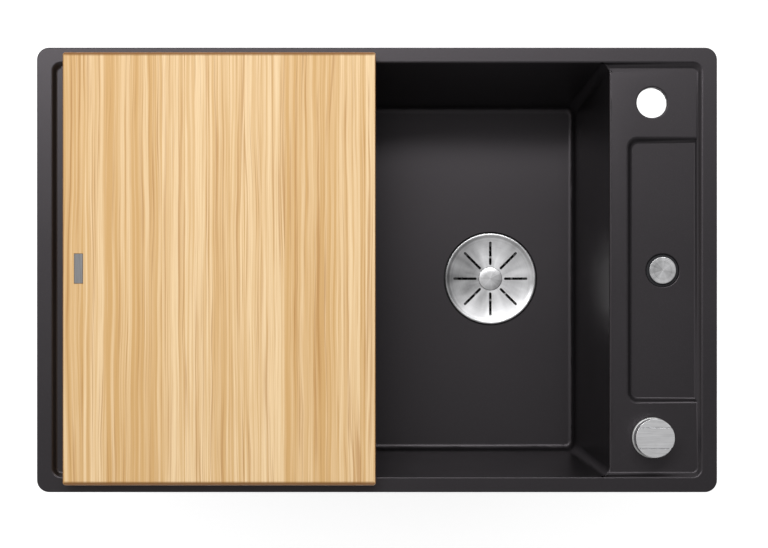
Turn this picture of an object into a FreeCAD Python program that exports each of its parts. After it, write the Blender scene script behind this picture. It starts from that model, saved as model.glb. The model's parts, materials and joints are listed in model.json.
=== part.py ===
import FreeCAD, Part
import Sketcher

import math
import os
from FreeCAD import Placement, Rotation, Vector

# Inset kitchen sink in cast stone composite with a sliding wood board, a remotely lifted basket
# strainer, an overflow and clamp claws.
# Frame: the origin is the middle of the worktop cut-out, on the worktop's top face.
# +X runs to the tap ledge, +Y to the wall behind the sink and +Z up.  Millimetres.

DIMENSIONS = [
    # rim and plate
    ("sink_length", 780, "overall length of the rim"),
    ("sink_width", 510, "overall width of the rim"),
    ("sink_corner", 14, "outer corner radius of the rim"),
    ("rim_height", 7.5, "rim top above the worktop"),
    ("rim_width", 17.5, "width of the rim's flat top"),
    ("rim_round", 1.6, "rounding of the rim's edges"),
    ("rim_inner_corner", 10, "corner radius inside the rim"),
    ("rim_step_run", 4.5, "how far the rim's inner wall leans in"),
    ("ledge_drop", 5, "ledge below the rim top"),
    ("ledge_corner", 6, "corner radius at the foot of the rim wall"),
    ("flange_width", 12, "rim lying on the worktop, outside the cut-out"),
    ("deck_corner", 12, "corner radius of the plate under the rim"),
    ("deck_thickness", 9, "wall of the ledge plate"),
    ("seal_inset", 2.5, "sealing strip in from the rim's outer edge"),
    ("seal_width", 6, "width of the sealing strip"),
    ("seal_thickness", 1.5, "thickness of the sealing strip"),
    # bowl
    ("bowl_inset", 123, "right edge of the bowl at the ledge, in from the rim's right end"),
    ("bowl_length", 345, "length of the bowl at the ledge"),
    ("bowl_depth", 190, "rim top to bowl floor"),
    ("bowl_side_run", 23.4, "lean of the side walls from ledge to floor"),
    ("bowl_front_run", 26, "lean of the front and back walls"),
    ("bowl_wall", 9, "wall of the bowl"),
    ("bowl_corner", 11, "corner radius of the bowl"),
    ("bowl_outer_corner", 19, "corner radius of the bowl's outside"),
    ("floor_round", 8, "rounding between wall and floor"),
    ("bowl_edge_round", 2.4, "rounding of the bowl's top edge"),
    # drainer field to the left of the bowl, under the board
    ("drainer_inset", 40, "left end of the drainer field, in from the rim's left end"),
    ("drainer_side_inset", 33, "sides of the drainer field, in from the rim's front and back"),
    ("drainer_start", 1.5, "drainer field below the ledge at its left end"),
    ("drainer_fall", 5.5, "fall of the drainer field towards the bowl"),
    ("drainer_rib_count", 7, "ribs in the drainer field"),
    ("drainer_rib_pitch", 56, "rib to rib"),
    ("drainer_rib_width", 7, "width of a rib"),
    ("drainer_rib_height", 1.4, "rib above the field"),
    ("drainer_rib_gap", 22, "rib ends in from the ends of the field"),
    # tap ledge
    ("ledge_axis_inset", 74, "line of tap hole and turning control, in from the rim's right end"),
    ("tap_inset", 62.5, "tap hole, in from the rim's back"),
    ("tap_hole", 35, "diameter of the tap hole"),
    ("control_inset", 62.5, "turning control, in from the rim's front"),
    ("control_hole", 35, "diameter of the control hole"),
    ("tray_inset", 102, "left edge of the tray, in from the rim's right end"),
    ("tray_end_inset", 103, "ends of the tray, in from the rim's front and back"),
    ("tray_depth", 7, "tray floor below the ledge"),
    ("tray_run", 4.5, "lean of the tray's walls"),
    ("tray_corner", 11, "corner radius of the tray"),
    ("overflow_inset", 61, "overflow, in from the rim's right end"),
    ("overflow_mouth", 37.6, "diameter of the overflow's mouth"),
    ("overflow_mouth_depth", 4, "depth of the mouth's shoulder"),
    ("overflow_bore", 33.8, "diameter of the hole under the shoulder"),
    # waste outlet in the bowl
    ("drain_inset", 126.3, "outlet, in from the bowl's right edge"),
    ("drain_recess", 116, "diameter of the recess round the strainer"),
    ("drain_recess_depth", 7, "recess below the bowl floor"),
    ("drain_hole", 104, "diameter of the hole in the bowl floor"),
    ("drain_pad", 138, "diameter of the thicker floor round the hole"),
    ("drain_pad_drop", 6, "thicker floor below the bowl's underside"),
    ("gasket_thickness", 1.5, "flat gaskets of the waste"),
    ("flange_diameter", 115, "steel waste flange"),
    ("flange_sheet", 1.2, "sheet of the waste flange"),
    ("throat_radius", 40, "inside radius of the flange's collar"),
    ("throat_length", 15, "length of the flange's collar"),
    ("flange_screw_circle", 48.5, "radius of the flange's screw circle"),
    ("flange_screw_count", 3, "screws of the waste flange"),
    ("flange_screw_radius", 2, "shank radius of those screws"),
    ("flange_screw_length", 27, "shank length of those screws"),
    ("flange_screw_head", 0.9, "height of their heads"),
    ("flange_screw_turn", 30, "degrees from the X axis to the first of them"),
    # strainer
    ("disc_diameter", 113, "strainer disc"),
    ("disc_sheet", 0.9, "sheet of the strainer disc"),
    ("disc_lip", 4.4, "width of the disc's raised lip"),
    ("disc_lip_rise", 1, "rise of that lip over the dish"),
    ("disc_dish", 1.4, "depth of the dish from lip to middle"),
    ("disc_above_floor", 0.3, "top of the disc's lip over the bowl floor"),
    ("slot_count", 8, "slots in the disc"),
    ("slot_inner", 17, "slots start this far from the middle"),
    ("slot_outer", 46, "slots end this far from the middle"),
    ("slot_width", 3.1, "width of a slot"),
    ("button_diameter", 29, "domed button in the disc"),
    ("button_rise", 2.2, "height of the button's dome"),
    ("collar_radius", 26.5, "mean radius of the collar under the slots"),
    ("basket_radius", 36, "outside radius of the basket"),
    ("basket_depth", 30, "depth of the basket"),
    ("basket_wall", 1.4, "wall of the basket"),
    ("basket_hole", 2.1, "radius of the holes in the basket's floor"),
    ("basket_slit", 2.8, "width of the slits in the basket's wall"),
    ("stem_radius", 7, "outside radius of the strainer's stem"),
    ("stem_foot", 10, "radius of the stem's foot, which carries the valve seal"),
    ("valve_radius", 25, "radius of the valve seal under the basket"),
    ("valve_thickness", 4, "thickness of the valve seal"),
    # waste body
    ("body_wall", 3, "wall of the waste body"),
    ("cup_radius", 44, "inside radius of the upper cup"),
    ("body_flange_radius", 63, "flange of the waste body"),
    ("body_flange_thickness", 4, "thickness of that flange"),
    ("seat_radius", 20, "hole in the valve seat"),
    ("chamber_radius", 30, "inside radius of the lower chamber"),
    ("chamber_height", 34, "height of the lower chamber"),
    ("chamber_cone", 8, "height of the cone under the chamber"),
    ("outlet_radius", 23.9, "outlet thread, 1 1/2 inch"),
    ("outlet_bore", 20, "bore radius of the outlet"),
    ("outlet_length", 26, "length of the outlet thread"),
    ("spigot_radius", 10, "outside radius of the hose spigots"),
    ("spigot_wall", 2, "wall of the hose spigots"),
    ("spigot_length", 22, "length of the hose spigots"),
    ("spigot_below_seat", 18, "overflow spigot below the valve seat"),
    # lifting gear
    ("pin_radius", 3, "lift pin, and the lever's shaft"),
    ("pin_engagement", 8, "lift pin inside the strainer's stem"),
    ("running_gap", 0.05, "radial gap of running fits"),
    ("rest_gap", 0.3, "gap between pieces that part or slide"),
    ("lever_length", 24, "inner lever, shaft to nose"),
    ("lever_below_seat", 24, "lever shaft below the valve seat"),
    ("lever_swing", 24, "degrees that the lever turns"),
    ("arm_length", 35, "outer arm, shaft to cable nipple"),
    ("arm_offset", 50, "outer arm and cable, forward of the outlet's axis"),
    ("arm_thickness", 4, "thickness of the outer arm"),
    ("arm_screw_radius", 1.5, "screw that holds the outer arm on its shaft"),
    ("lever_wall", 2, "wall round the bores of both levers"),
    ("eye_gap", 0.9, "play of the cable nipple in the outer arm"),
    # cable
    ("sheath_radius", 3, "outside radius of the cable sheath"),
    ("wire_radius", 0.8, "radius of the cable's wire"),
    ("nipple_radius", 2.6, "radius of the wire's nipples"),
    ("ferrule_radius", 4.5, "radius of the sheath's ferrules"),
    ("ferrule_length", 14, "length of the sheath's ferrules"),
    ("stop_distance", 52, "cable stop from the lever's shaft"),
    ("stop_thickness", 4, "thickness of the cable stop"),
    # turning control
    ("knob_diameter", 44, "control knob"),
    ("knob_top", 28, "knob top above the ledge"),
    ("knob_step", 1.2, "outer parts of the knob's top below its middle bar"),
    ("knob_bar", 22, "width of the raised bar across the knob"),
    ("knob_gap", 0.5, "knob above the rosette"),
    ("rosette_diameter", 47, "rosette under the knob"),
    ("rosette_height", 3, "height of the rosette"),
    ("control_gasket", 1, "flat gasket under the rosette"),
    ("knob_screw_radius", 2, "grub screw in the knob"),
    ("nut_wall", 7, "bore to flat of the nuts under the ledge"),
    ("nut_height", 9, "height of the control's nut"),
    ("washer_width", 8, "width of the control's washer"),
    ("washer_thickness", 1.5, "thickness of that washer"),
    ("bush_radius", 16.5, "threaded bush"),
    ("bush_depth", 36, "bush below the ledge plate"),
    ("spindle_radius", 4, "control spindle"),
    ("crank_radius", 10.3, "crank pin from the spindle"),
    ("crank_pin", 2.5, "radius of the crank pin"),
    ("crank_disc", 15, "radius of the crank disc"),
    ("case_half", 24, "half length and half width of the case"),
    ("case_wall", 3, "wall of the case"),
    ("case_height", 26, "height of the case"),
    ("case_screw_radius", 1.5, "screws of the case's cover"),
    ("case_post_wall", 2.1, "wall of the posts for those screws"),
    ("slider_wall", 2, "wall at both ends of the slider's slot"),
    ("wire_offset", 9, "wire from the spindle, along X"),
    ("wire_rise", 10, "wire above the underside of the case"),
    # overflow
    ("cap_diameter", 31, "overflow cap"),
    ("cap_thickness", 3, "thickness of the overflow cap"),
    ("cap_above_tray", 2.5, "cap top above the tray floor"),
    ("cap_crown", 0.4, "fall of the cap's top from its middle to its edge"),
    ("cap_round", 0.8, "rounding of the cap's edge"),
    ("cap_stem", 4, "radius of the cap's stem"),
    ("sleeve_wall", 2.4, "wall of the overflow sleeve"),
    ("sleeve_length", 26, "sleeve below the mouth's shoulder"),
    ("overflow_seal_width", 9, "width of the seal under the tray"),
    ("overflow_nut_height", 6, "height of the overflow's nut"),
    ("funnel_cone", 12, "height of the funnel's cone"),
    ("hose_bore", 20, "bore of the overflow hose"),
    ("hose_end_gap", 1, "hose end to the shoulder behind it"),
    ("hose_clamp_inset", 4, "hose clamp from that shoulder"),
    ("hose_valley", 11.3, "outside radius between the ribs"),
    ("hose_crest", 13, "outside radius over the ribs"),
    ("hose_rib_count", 40, "ribs of the hose"),
    # clamps
    ("clamp_inset", 15, "clamp screws in from the plate's edge"),
    ("clamp_side_y", 110, "side clamps from the middle"),
    ("clamp_outer_inset", 88, "outer clamps at front and back, from the plate's left end"),
    ("clamp_bowl_inset", 72, "inner clamps at front and back, left of the bowl's edge"),
    ("boss_radius", 9, "bosses for the clamp inserts"),
    ("boss_bottom", 24, "underside of the bosses, below the worktop's top"),
    ("insert_radius", 4, "brass inserts"),
    ("insert_length", 12, "length of the inserts"),
    ("clamp_screw_radius", 2.5, "clamp screws"),
    ("clamp_screw_length", 48, "length of the clamp screws under the bosses"),
    ("clamp_head_radius", 7, "heads of the clamp screws"),
    ("claw_reach", 26, "claw from its screw to its tip"),
    ("claw_width", 12, "width of a claw"),
    ("claw_sheet", 4, "thickness of a claw"),
    ("claw_rise", 14, "upturned tip of a claw"),
    # board
    ("board_length", 355, "board along the sink"),
    ("board_width", 492, "board across the sink"),
    ("board_thickness", 25, "board above the rim"),
    ("board_x", -179, "middle of the board at rest"),
    ("board_tongue", 3.5, "tongue below the rim top"),
    ("board_tongue_gap", 4, "tongue in from the rim's inner edge"),
    ("board_round", 4.5, "rounding of the board's front and back edges"),
    ("board_corner", 3, "corner radius of the board"),
    ("plate_length", 34, "metal plate let into the board"),
    ("plate_width", 10, "width of that plate"),
    ("plate_thickness", 1.5, "thickness of that plate"),
    ("plate_inset", 13, "plate's outer edge in from the board's edge"),
]


class Size:
    """A size that knows its value and the sheet expression that gives it."""

    def __init__(self, value, text):
        self.value = value
        self.text = text

    def __add__(self, other):
        other = sized(other)
        return Size(self.value + other.value, "(%s + %s)" % (self.text, other.text))

    def __sub__(self, other):
        other = sized(other)
        return Size(self.value - other.value, "(%s - %s)" % (self.text, other.text))

    def __mul__(self, other):
        other = sized(other)
        return Size(self.value * other.value, "(%s * %s)" % (self.text, other.text))

    def __truediv__(self, other):
        other = sized(other)
        return Size(self.value / other.value, "(%s / %s)" % (self.text, other.text))

    def __neg__(self):
        return Size(-self.value, "(-1 * %s)" % self.text)

    def __radd__(self, other):
        return sized(other) + self

    def __rsub__(self, other):
        return sized(other) - self


def sized(number):
    """A plain number as a Size, so that both can stand in one sum."""
    return number if isinstance(number, Size) else Size(float(number), "%.6g" % number)


def sine(angle):
    return Size(math.sin(math.radians(angle.value)), "sin(%s)" % angle.text)


def cosine(angle):
    return Size(math.cos(math.radians(angle.value)), "cos(%s)" % angle.text)


DOC = FreeCAD.newDocument("kitchen_sink")
PIECES = []


def fill_sheet():
    """Writes the driving dimensions into the sheet and hands them back as Sizes."""
    sheet = DOC.addObject("Spreadsheet::Sheet", "Dims")
    sizes = {}
    for row, (name, value, note) in enumerate(DIMENSIONS, start=1):
        sheet.set("A%d" % row, note)
        sheet.set("B%d" % row, str(value))
        sheet.setAlias("B%d" % row, name)
        sizes[name] = Size(float(value), "Dims.%s" % name)
    DOC.recompute()
    return sizes


S = fill_sheet()


# ---------------------------------------------------------------- sketches and features

def bind(obj, prop, size):
    obj.setExpression(prop, sized(size).text)


def place(obj, x=0, y=0, z=0, rotation=None):
    """Puts a piece at a place that follows the sheet."""
    x, y, z = sized(x), sized(y), sized(z)
    obj.Placement = Placement(Vector(x.value, y.value, z.value), rotation or Rotation())
    bind(obj, "Placement.Base.x", x)
    bind(obj, "Placement.Base.y", y)
    bind(obj, "Placement.Base.z", z)


ALONG_X = Rotation(Vector(0, 1, 0), 90)
ALONG_Y = Rotation(Vector(1, 0, 0), -90)


def new_body(label):
    return DOC.addObject("PartDesign::Body", label)


def sketch_on(body, role, name, level=0):
    """A sketch on one of the body's own origin planes, raised to a level."""
    sketch = body.newObject("Sketcher::SketchObject", name)
    plane = [item for item in body.Origin.OriginFeatures if item.Role == role][0]
    sketch.AttachmentSupport = [(plane, "")]
    sketch.MapMode = "FlatFace"
    bind(sketch, "AttachmentOffset.Base.z", level)
    return sketch


def fix(sketch, kind, geometry, point, size):
    """Ties one coordinate of a sketch point to a size, measured from the origin."""
    size = sized(size)
    index = sketch.addConstraint(Sketcher.Constraint(kind, -1, 1, geometry, point, size.value))
    bind(sketch, "Constraints[%d]" % index, size)


def draw_polygon(sketch, corners):
    corners = [(sized(x), sized(y)) for x, y in corners]
    first = sketch.GeometryCount
    spots = [Vector(x.value, y.value, 0) for x, y in corners]
    for i, spot in enumerate(spots):
        sketch.addGeometry(Part.LineSegment(spot, spots[(i + 1) % len(spots)]))
    for i in range(len(spots)):
        follower = first + (i + 1) % len(spots)
        sketch.addConstraint(Sketcher.Constraint("Coincident", first + i, 2, follower, 1))
    for i, (x, y) in enumerate(corners):
        fix(sketch, "DistanceX", first + i, 1, x)
        fix(sketch, "DistanceY", first + i, 1, y)


def draw_circle(sketch, x, y, radius):
    x, y, radius = sized(x), sized(y), sized(radius)
    circle = Part.Circle(Vector(x.value, y.value, 0), Vector(0, 0, 1), radius.value)
    index = sketch.addGeometry(circle)
    fix(sketch, "DistanceX", index, 3, x)
    fix(sketch, "DistanceY", index, 3, y)
    ring = sketch.addConstraint(Sketcher.Constraint("Radius", index, radius.value))
    bind(sketch, "Constraints[%d]" % ring, radius)


def draw_rounded(sketch, x0, x1, y0, y1, radius):
    """A rectangle with round corners: four sides, each followed by its corner arc."""
    x0, x1, y0, y1, radius = [sized(item) for item in (x0, x1, y0, y1, radius)]
    r = radius.value
    left, right, low, high = x0.value, x1.value, y0.value, y1.value
    sides = [
        (Vector(left + r, low, 0), Vector(right - r, low, 0)),
        (Vector(right, low + r, 0), Vector(right, high - r, 0)),
        (Vector(right - r, high, 0), Vector(left + r, high, 0)),
        (Vector(left, high - r, 0), Vector(left, low + r, 0)),
    ]
    centres = [
        Vector(right - r, low + r, 0),
        Vector(right - r, high - r, 0),
        Vector(left + r, high - r, 0),
        Vector(left + r, low + r, 0),
    ]
    first = sketch.GeometryCount
    for i, (side, centre) in enumerate(zip(sides, centres)):
        start = math.radians(-90 + 90 * i)
        sketch.addGeometry(Part.LineSegment(*side))
        circle = Part.Circle(centre, Vector(0, 0, 1), r)
        sketch.addGeometry(Part.ArcOfCircle(circle, start, start + math.pi / 2))
    for i in range(4):
        line, arc, after = first + 2 * i, first + 2 * i + 1, first + (2 * i + 2) % 8
        sketch.addConstraint(Sketcher.Constraint("Tangent", line, 2, arc, 1))
        sketch.addConstraint(Sketcher.Constraint("Tangent", arc, 2, after, 1))
        sketch.addConstraint(Sketcher.Constraint("Vertical" if i % 2 else "Horizontal", line))
        if i:
            sketch.addConstraint(Sketcher.Constraint("Equal", first + 1, arc))
    fix(sketch, "DistanceY", first, 1, y0)
    fix(sketch, "DistanceX", first + 2, 1, x1)
    fix(sketch, "DistanceY", first + 4, 1, y1)
    fix(sketch, "DistanceX", first + 6, 1, x0)
    corner = sketch.addConstraint(Sketcher.Constraint("Radius", first + 1, r))
    bind(sketch, "Constraints[%d]" % corner, radius)


def pad(body, sketch, length, name):
    feature = body.newObject("PartDesign::Pad", name)
    feature.Profile = sketch
    bind(feature, "Length", length)
    return feature


def pocket(body, sketch, length, name, upwards=False):
    """Cuts from the sketch's level downwards, or upwards."""
    feature = body.newObject("PartDesign::Pocket", name)
    feature.Profile = sketch
    feature.Reversed = upwards
    bind(feature, "Length", length)
    return feature


def across(feature):
    """Makes a pad or pocket run equally to both sides of its sketch."""
    feature.Midplane = True
    return feature


def loft(body, kind, sections, name):
    feature = body.newObject("PartDesign::%sLoft" % kind, name)
    feature.Profile = sections[0]
    feature.Sections = sections[1:]
    feature.Ruled = True
    return feature


def round_edges(body, base, radius, name, wanted):
    """Rounds each edge of the base feature that the test picks."""
    DOC.recompute()
    edges = base.Shape.Edges
    names = ["Edge%d" % (i + 1) for i, edge in enumerate(edges) if wanted(edge)]
    if not names:
        raise RuntimeError("no edge found for " + name)
    feature = body.newObject("PartDesign::Fillet", name)
    feature.Base = (base, names)
    bind(feature, "Radius", radius)
    return feature


def pattern_round(body, features, count, name):
    """Repeats features round the body's own Z axis."""
    axis = [item for item in body.Origin.OriginFeatures if item.Role == "Z_Axis"][0]
    feature = body.newObject("PartDesign::PolarPattern", name)
    feature.Originals = features
    feature.Axis = (axis, [""])
    feature.Angle = 360
    bind(feature, "Occurrences", count)
    body.Tip = feature
    return feature


def piece(obj):
    PIECES.append(obj)
    return obj


def revolved(label, outline, x=0, y=0, z=0, rotation=None):
    """A turned piece: an outline of radius and height, spun about its own axis."""
    body = new_body(label)
    sketch = sketch_on(body, "XZ_Plane", label + "_outline")
    draw_polygon(sketch, outline)
    turn = body.newObject("PartDesign::Revolution", label + "_turn")
    turn.Profile = sketch
    turn.ReferenceAxis = (sketch, ["V_Axis"])
    turn.Angle = 360
    place(body, x, y, z, rotation)
    return body


def ring(label, inner, outer, low, high, x=0, y=0, z=0, rotation=None):
    outline = [(inner, low), (outer, low), (outer, high), (inner, high)]
    return revolved(label, outline, x, y, z, rotation)


def box(name, x0, x1, y0, y1, z0, z1):
    x0, x1, y0, y1, z0, z1 = [sized(item) for item in (x0, x1, y0, y1, z0, z1)]
    solid = DOC.addObject("Part::Box", name)
    bind(solid, "Length", x1 - x0)
    bind(solid, "Width", y1 - y0)
    bind(solid, "Height", z1 - z0)
    place(solid, x0, y0, z0)
    return solid


def cylinder(name, radius, length, x=0, y=0, z=0, rotation=None):
    solid = DOC.addObject("Part::Cylinder", name)
    bind(solid, "Radius", radius)
    bind(solid, "Height", length)
    place(solid, x, y, z, rotation)
    return solid


def cone(name, low_radius, high_radius, length, x=0, y=0, z=0):
    solid = DOC.addObject("Part::Cone", name)
    bind(solid, "Radius1", low_radius)
    bind(solid, "Radius2", high_radius)
    bind(solid, "Height", length)
    place(solid, x, y, z)
    return solid


def spoke(name, length, width, x, z, angle):
    """A square bar that runs out from an upright axis at an angle."""
    bar = box(name, 0, length, 0, width, 0, width)
    turn = sized(angle)
    x, y = x + width / 2 * sine(turn), -width / 2 * cosine(turn)
    place(bar, x, y, z, Rotation(Vector(0, 0, 1), angle))
    return bar


def joined(label, solids):
    union = DOC.addObject("Part::MultiFuse", label)
    union.Shapes = solids
    union.Refine = True
    return union


def cut(label, base, tools):
    """The base less its tools."""
    tool = tools[0] if len(tools) == 1 else joined(label + "_tools", tools)
    result = DOC.addObject("Part::Cut", label)
    result.Base = base
    result.Tool = tool
    result.Refine = True
    return result


# ---------------------------------------------------------------- levels and places shared by pieces

HALF_LENGTH = S["sink_length"] / 2
HALF_WIDTH = S["sink_width"] / 2
BOWL_RIGHT = HALF_LENGTH - S["bowl_inset"]
BOWL_LEFT = BOWL_RIGHT - S["bowl_length"]
DRAIN_X = BOWL_RIGHT - S["drain_inset"]
DRAINER_LEFT = S["drainer_inset"] - HALF_LENGTH
DRAINER_HALF_WIDTH = HALF_WIDTH - S["drainer_side_inset"]
LEDGE_AXIS = HALF_LENGTH - S["ledge_axis_inset"]
TAP_Y = HALF_WIDTH - S["tap_inset"]
CONTROL_Y = S["control_inset"] - HALF_WIDTH
TRAY_LEFT = HALF_LENGTH - S["tray_inset"]
TRAY_HALF_WIDTH = HALF_WIDTH - S["tray_end_inset"]
OVERFLOW_X = HALF_LENGTH - S["overflow_inset"]
DECK_HALF_LENGTH = HALF_LENGTH - S["flange_width"]
DECK_HALF_WIDTH = HALF_WIDTH - S["flange_width"]
RIM_TOP = S["rim_height"]
LEDGE = RIM_TOP - S["ledge_drop"]
DECK_UNDER = LEDGE - S["deck_thickness"]
OPENING_HALF_LENGTH = HALF_LENGTH - S["rim_width"]
OPENING_HALF_WIDTH = HALF_WIDTH - S["rim_width"]
FLOOR = RIM_TOP - S["bowl_depth"]
TRAY_FLOOR = LEDGE - S["tray_depth"]
TRAY_UNDER = TRAY_FLOOR - S["deck_thickness"]
RECESS_FLOOR = FLOOR - S["drain_recess_depth"]
PAD_UNDER = FLOOR - S["bowl_wall"] - S["drain_pad_drop"]
FLANGE_TOP = RECESS_FLOOR + S["gasket_thickness"] + S["flange_sheet"]
BODY_TOP = PAD_UNDER - S["gasket_thickness"]
DISC_TOP = FLOOR + S["disc_above_floor"]
DISH_TOP = DISC_TOP - S["disc_lip_rise"]
DISH_LOW = DISH_TOP - S["disc_dish"]
BASKET_TOP = DISH_LOW - S["disc_sheet"]
BASKET_BOTTOM = BASKET_TOP - S["basket_depth"]
SEAT = BASKET_BOTTOM - S["valve_thickness"] - S["rest_gap"]
CHAMBER_TOP = SEAT - S["body_wall"]
CHAMBER_BOTTOM = SEAT - S["chamber_height"]
THREAD_TOP = CHAMBER_BOTTOM - S["chamber_cone"]
OUTLET_END = THREAD_TOP - S["outlet_length"]
SPIGOT_LEVEL = SEAT - S["spigot_below_seat"]
SHAFT_LEVEL = SEAT - S["lever_below_seat"]
SHAFT_X = DRAIN_X - S["lever_length"]
HALF_SWING = S["lever_swing"] / 2
NOSE_LEVEL = SHAFT_LEVEL - S["lever_length"] * sine(HALF_SWING)
WIRE_LEVEL = SHAFT_LEVEL - S["arm_length"] * cosine(HALF_SWING)
WIRE_TRAVEL = S["arm_length"] * sine(HALF_SWING) * 2
WIRE_Y = -S["arm_offset"] - S["arm_thickness"] / 2 - S["nipple_radius"]
BOSS_FRONT = S["body_wall"] * 4 - S["arm_offset"]
STOP_X = SHAFT_X + S["stop_distance"]
CASE_TOP = DECK_UNDER - S["bush_depth"]
CASE_BOTTOM = CASE_TOP - S["case_height"]
CASE_WIRE_LEVEL = CASE_BOTTOM + S["wire_rise"]
SHOULDER = TRAY_FLOOR - S["overflow_mouth_depth"]


# ---------------------------------------------------------------- sink

def clamp_places():
    """Every clamp: its place, and the way its claw points while the sink is dropped in."""
    side_x = DECK_HALF_LENGTH - S["clamp_inset"]
    end_y = DECK_HALF_WIDTH - S["clamp_inset"]
    outer_x = S["clamp_outer_inset"] - DECK_HALF_LENGTH
    inner_x = BOWL_LEFT - S["clamp_bowl_inset"]
    return [
        ("left_front", -side_x, -S["clamp_side_y"], 90),
        ("left_back", -side_x, S["clamp_side_y"], 270),
        ("right_front", side_x, -S["clamp_side_y"], 90),
        ("right_back", side_x, S["clamp_side_y"], 270),
        ("front_outer", outer_x, -end_y, 0),
        ("front_inner", inner_x, -end_y, 180),
        ("back_outer", outer_x, end_y, 0),
        ("back_inner", inner_x, end_y, 180),
    ]


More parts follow.
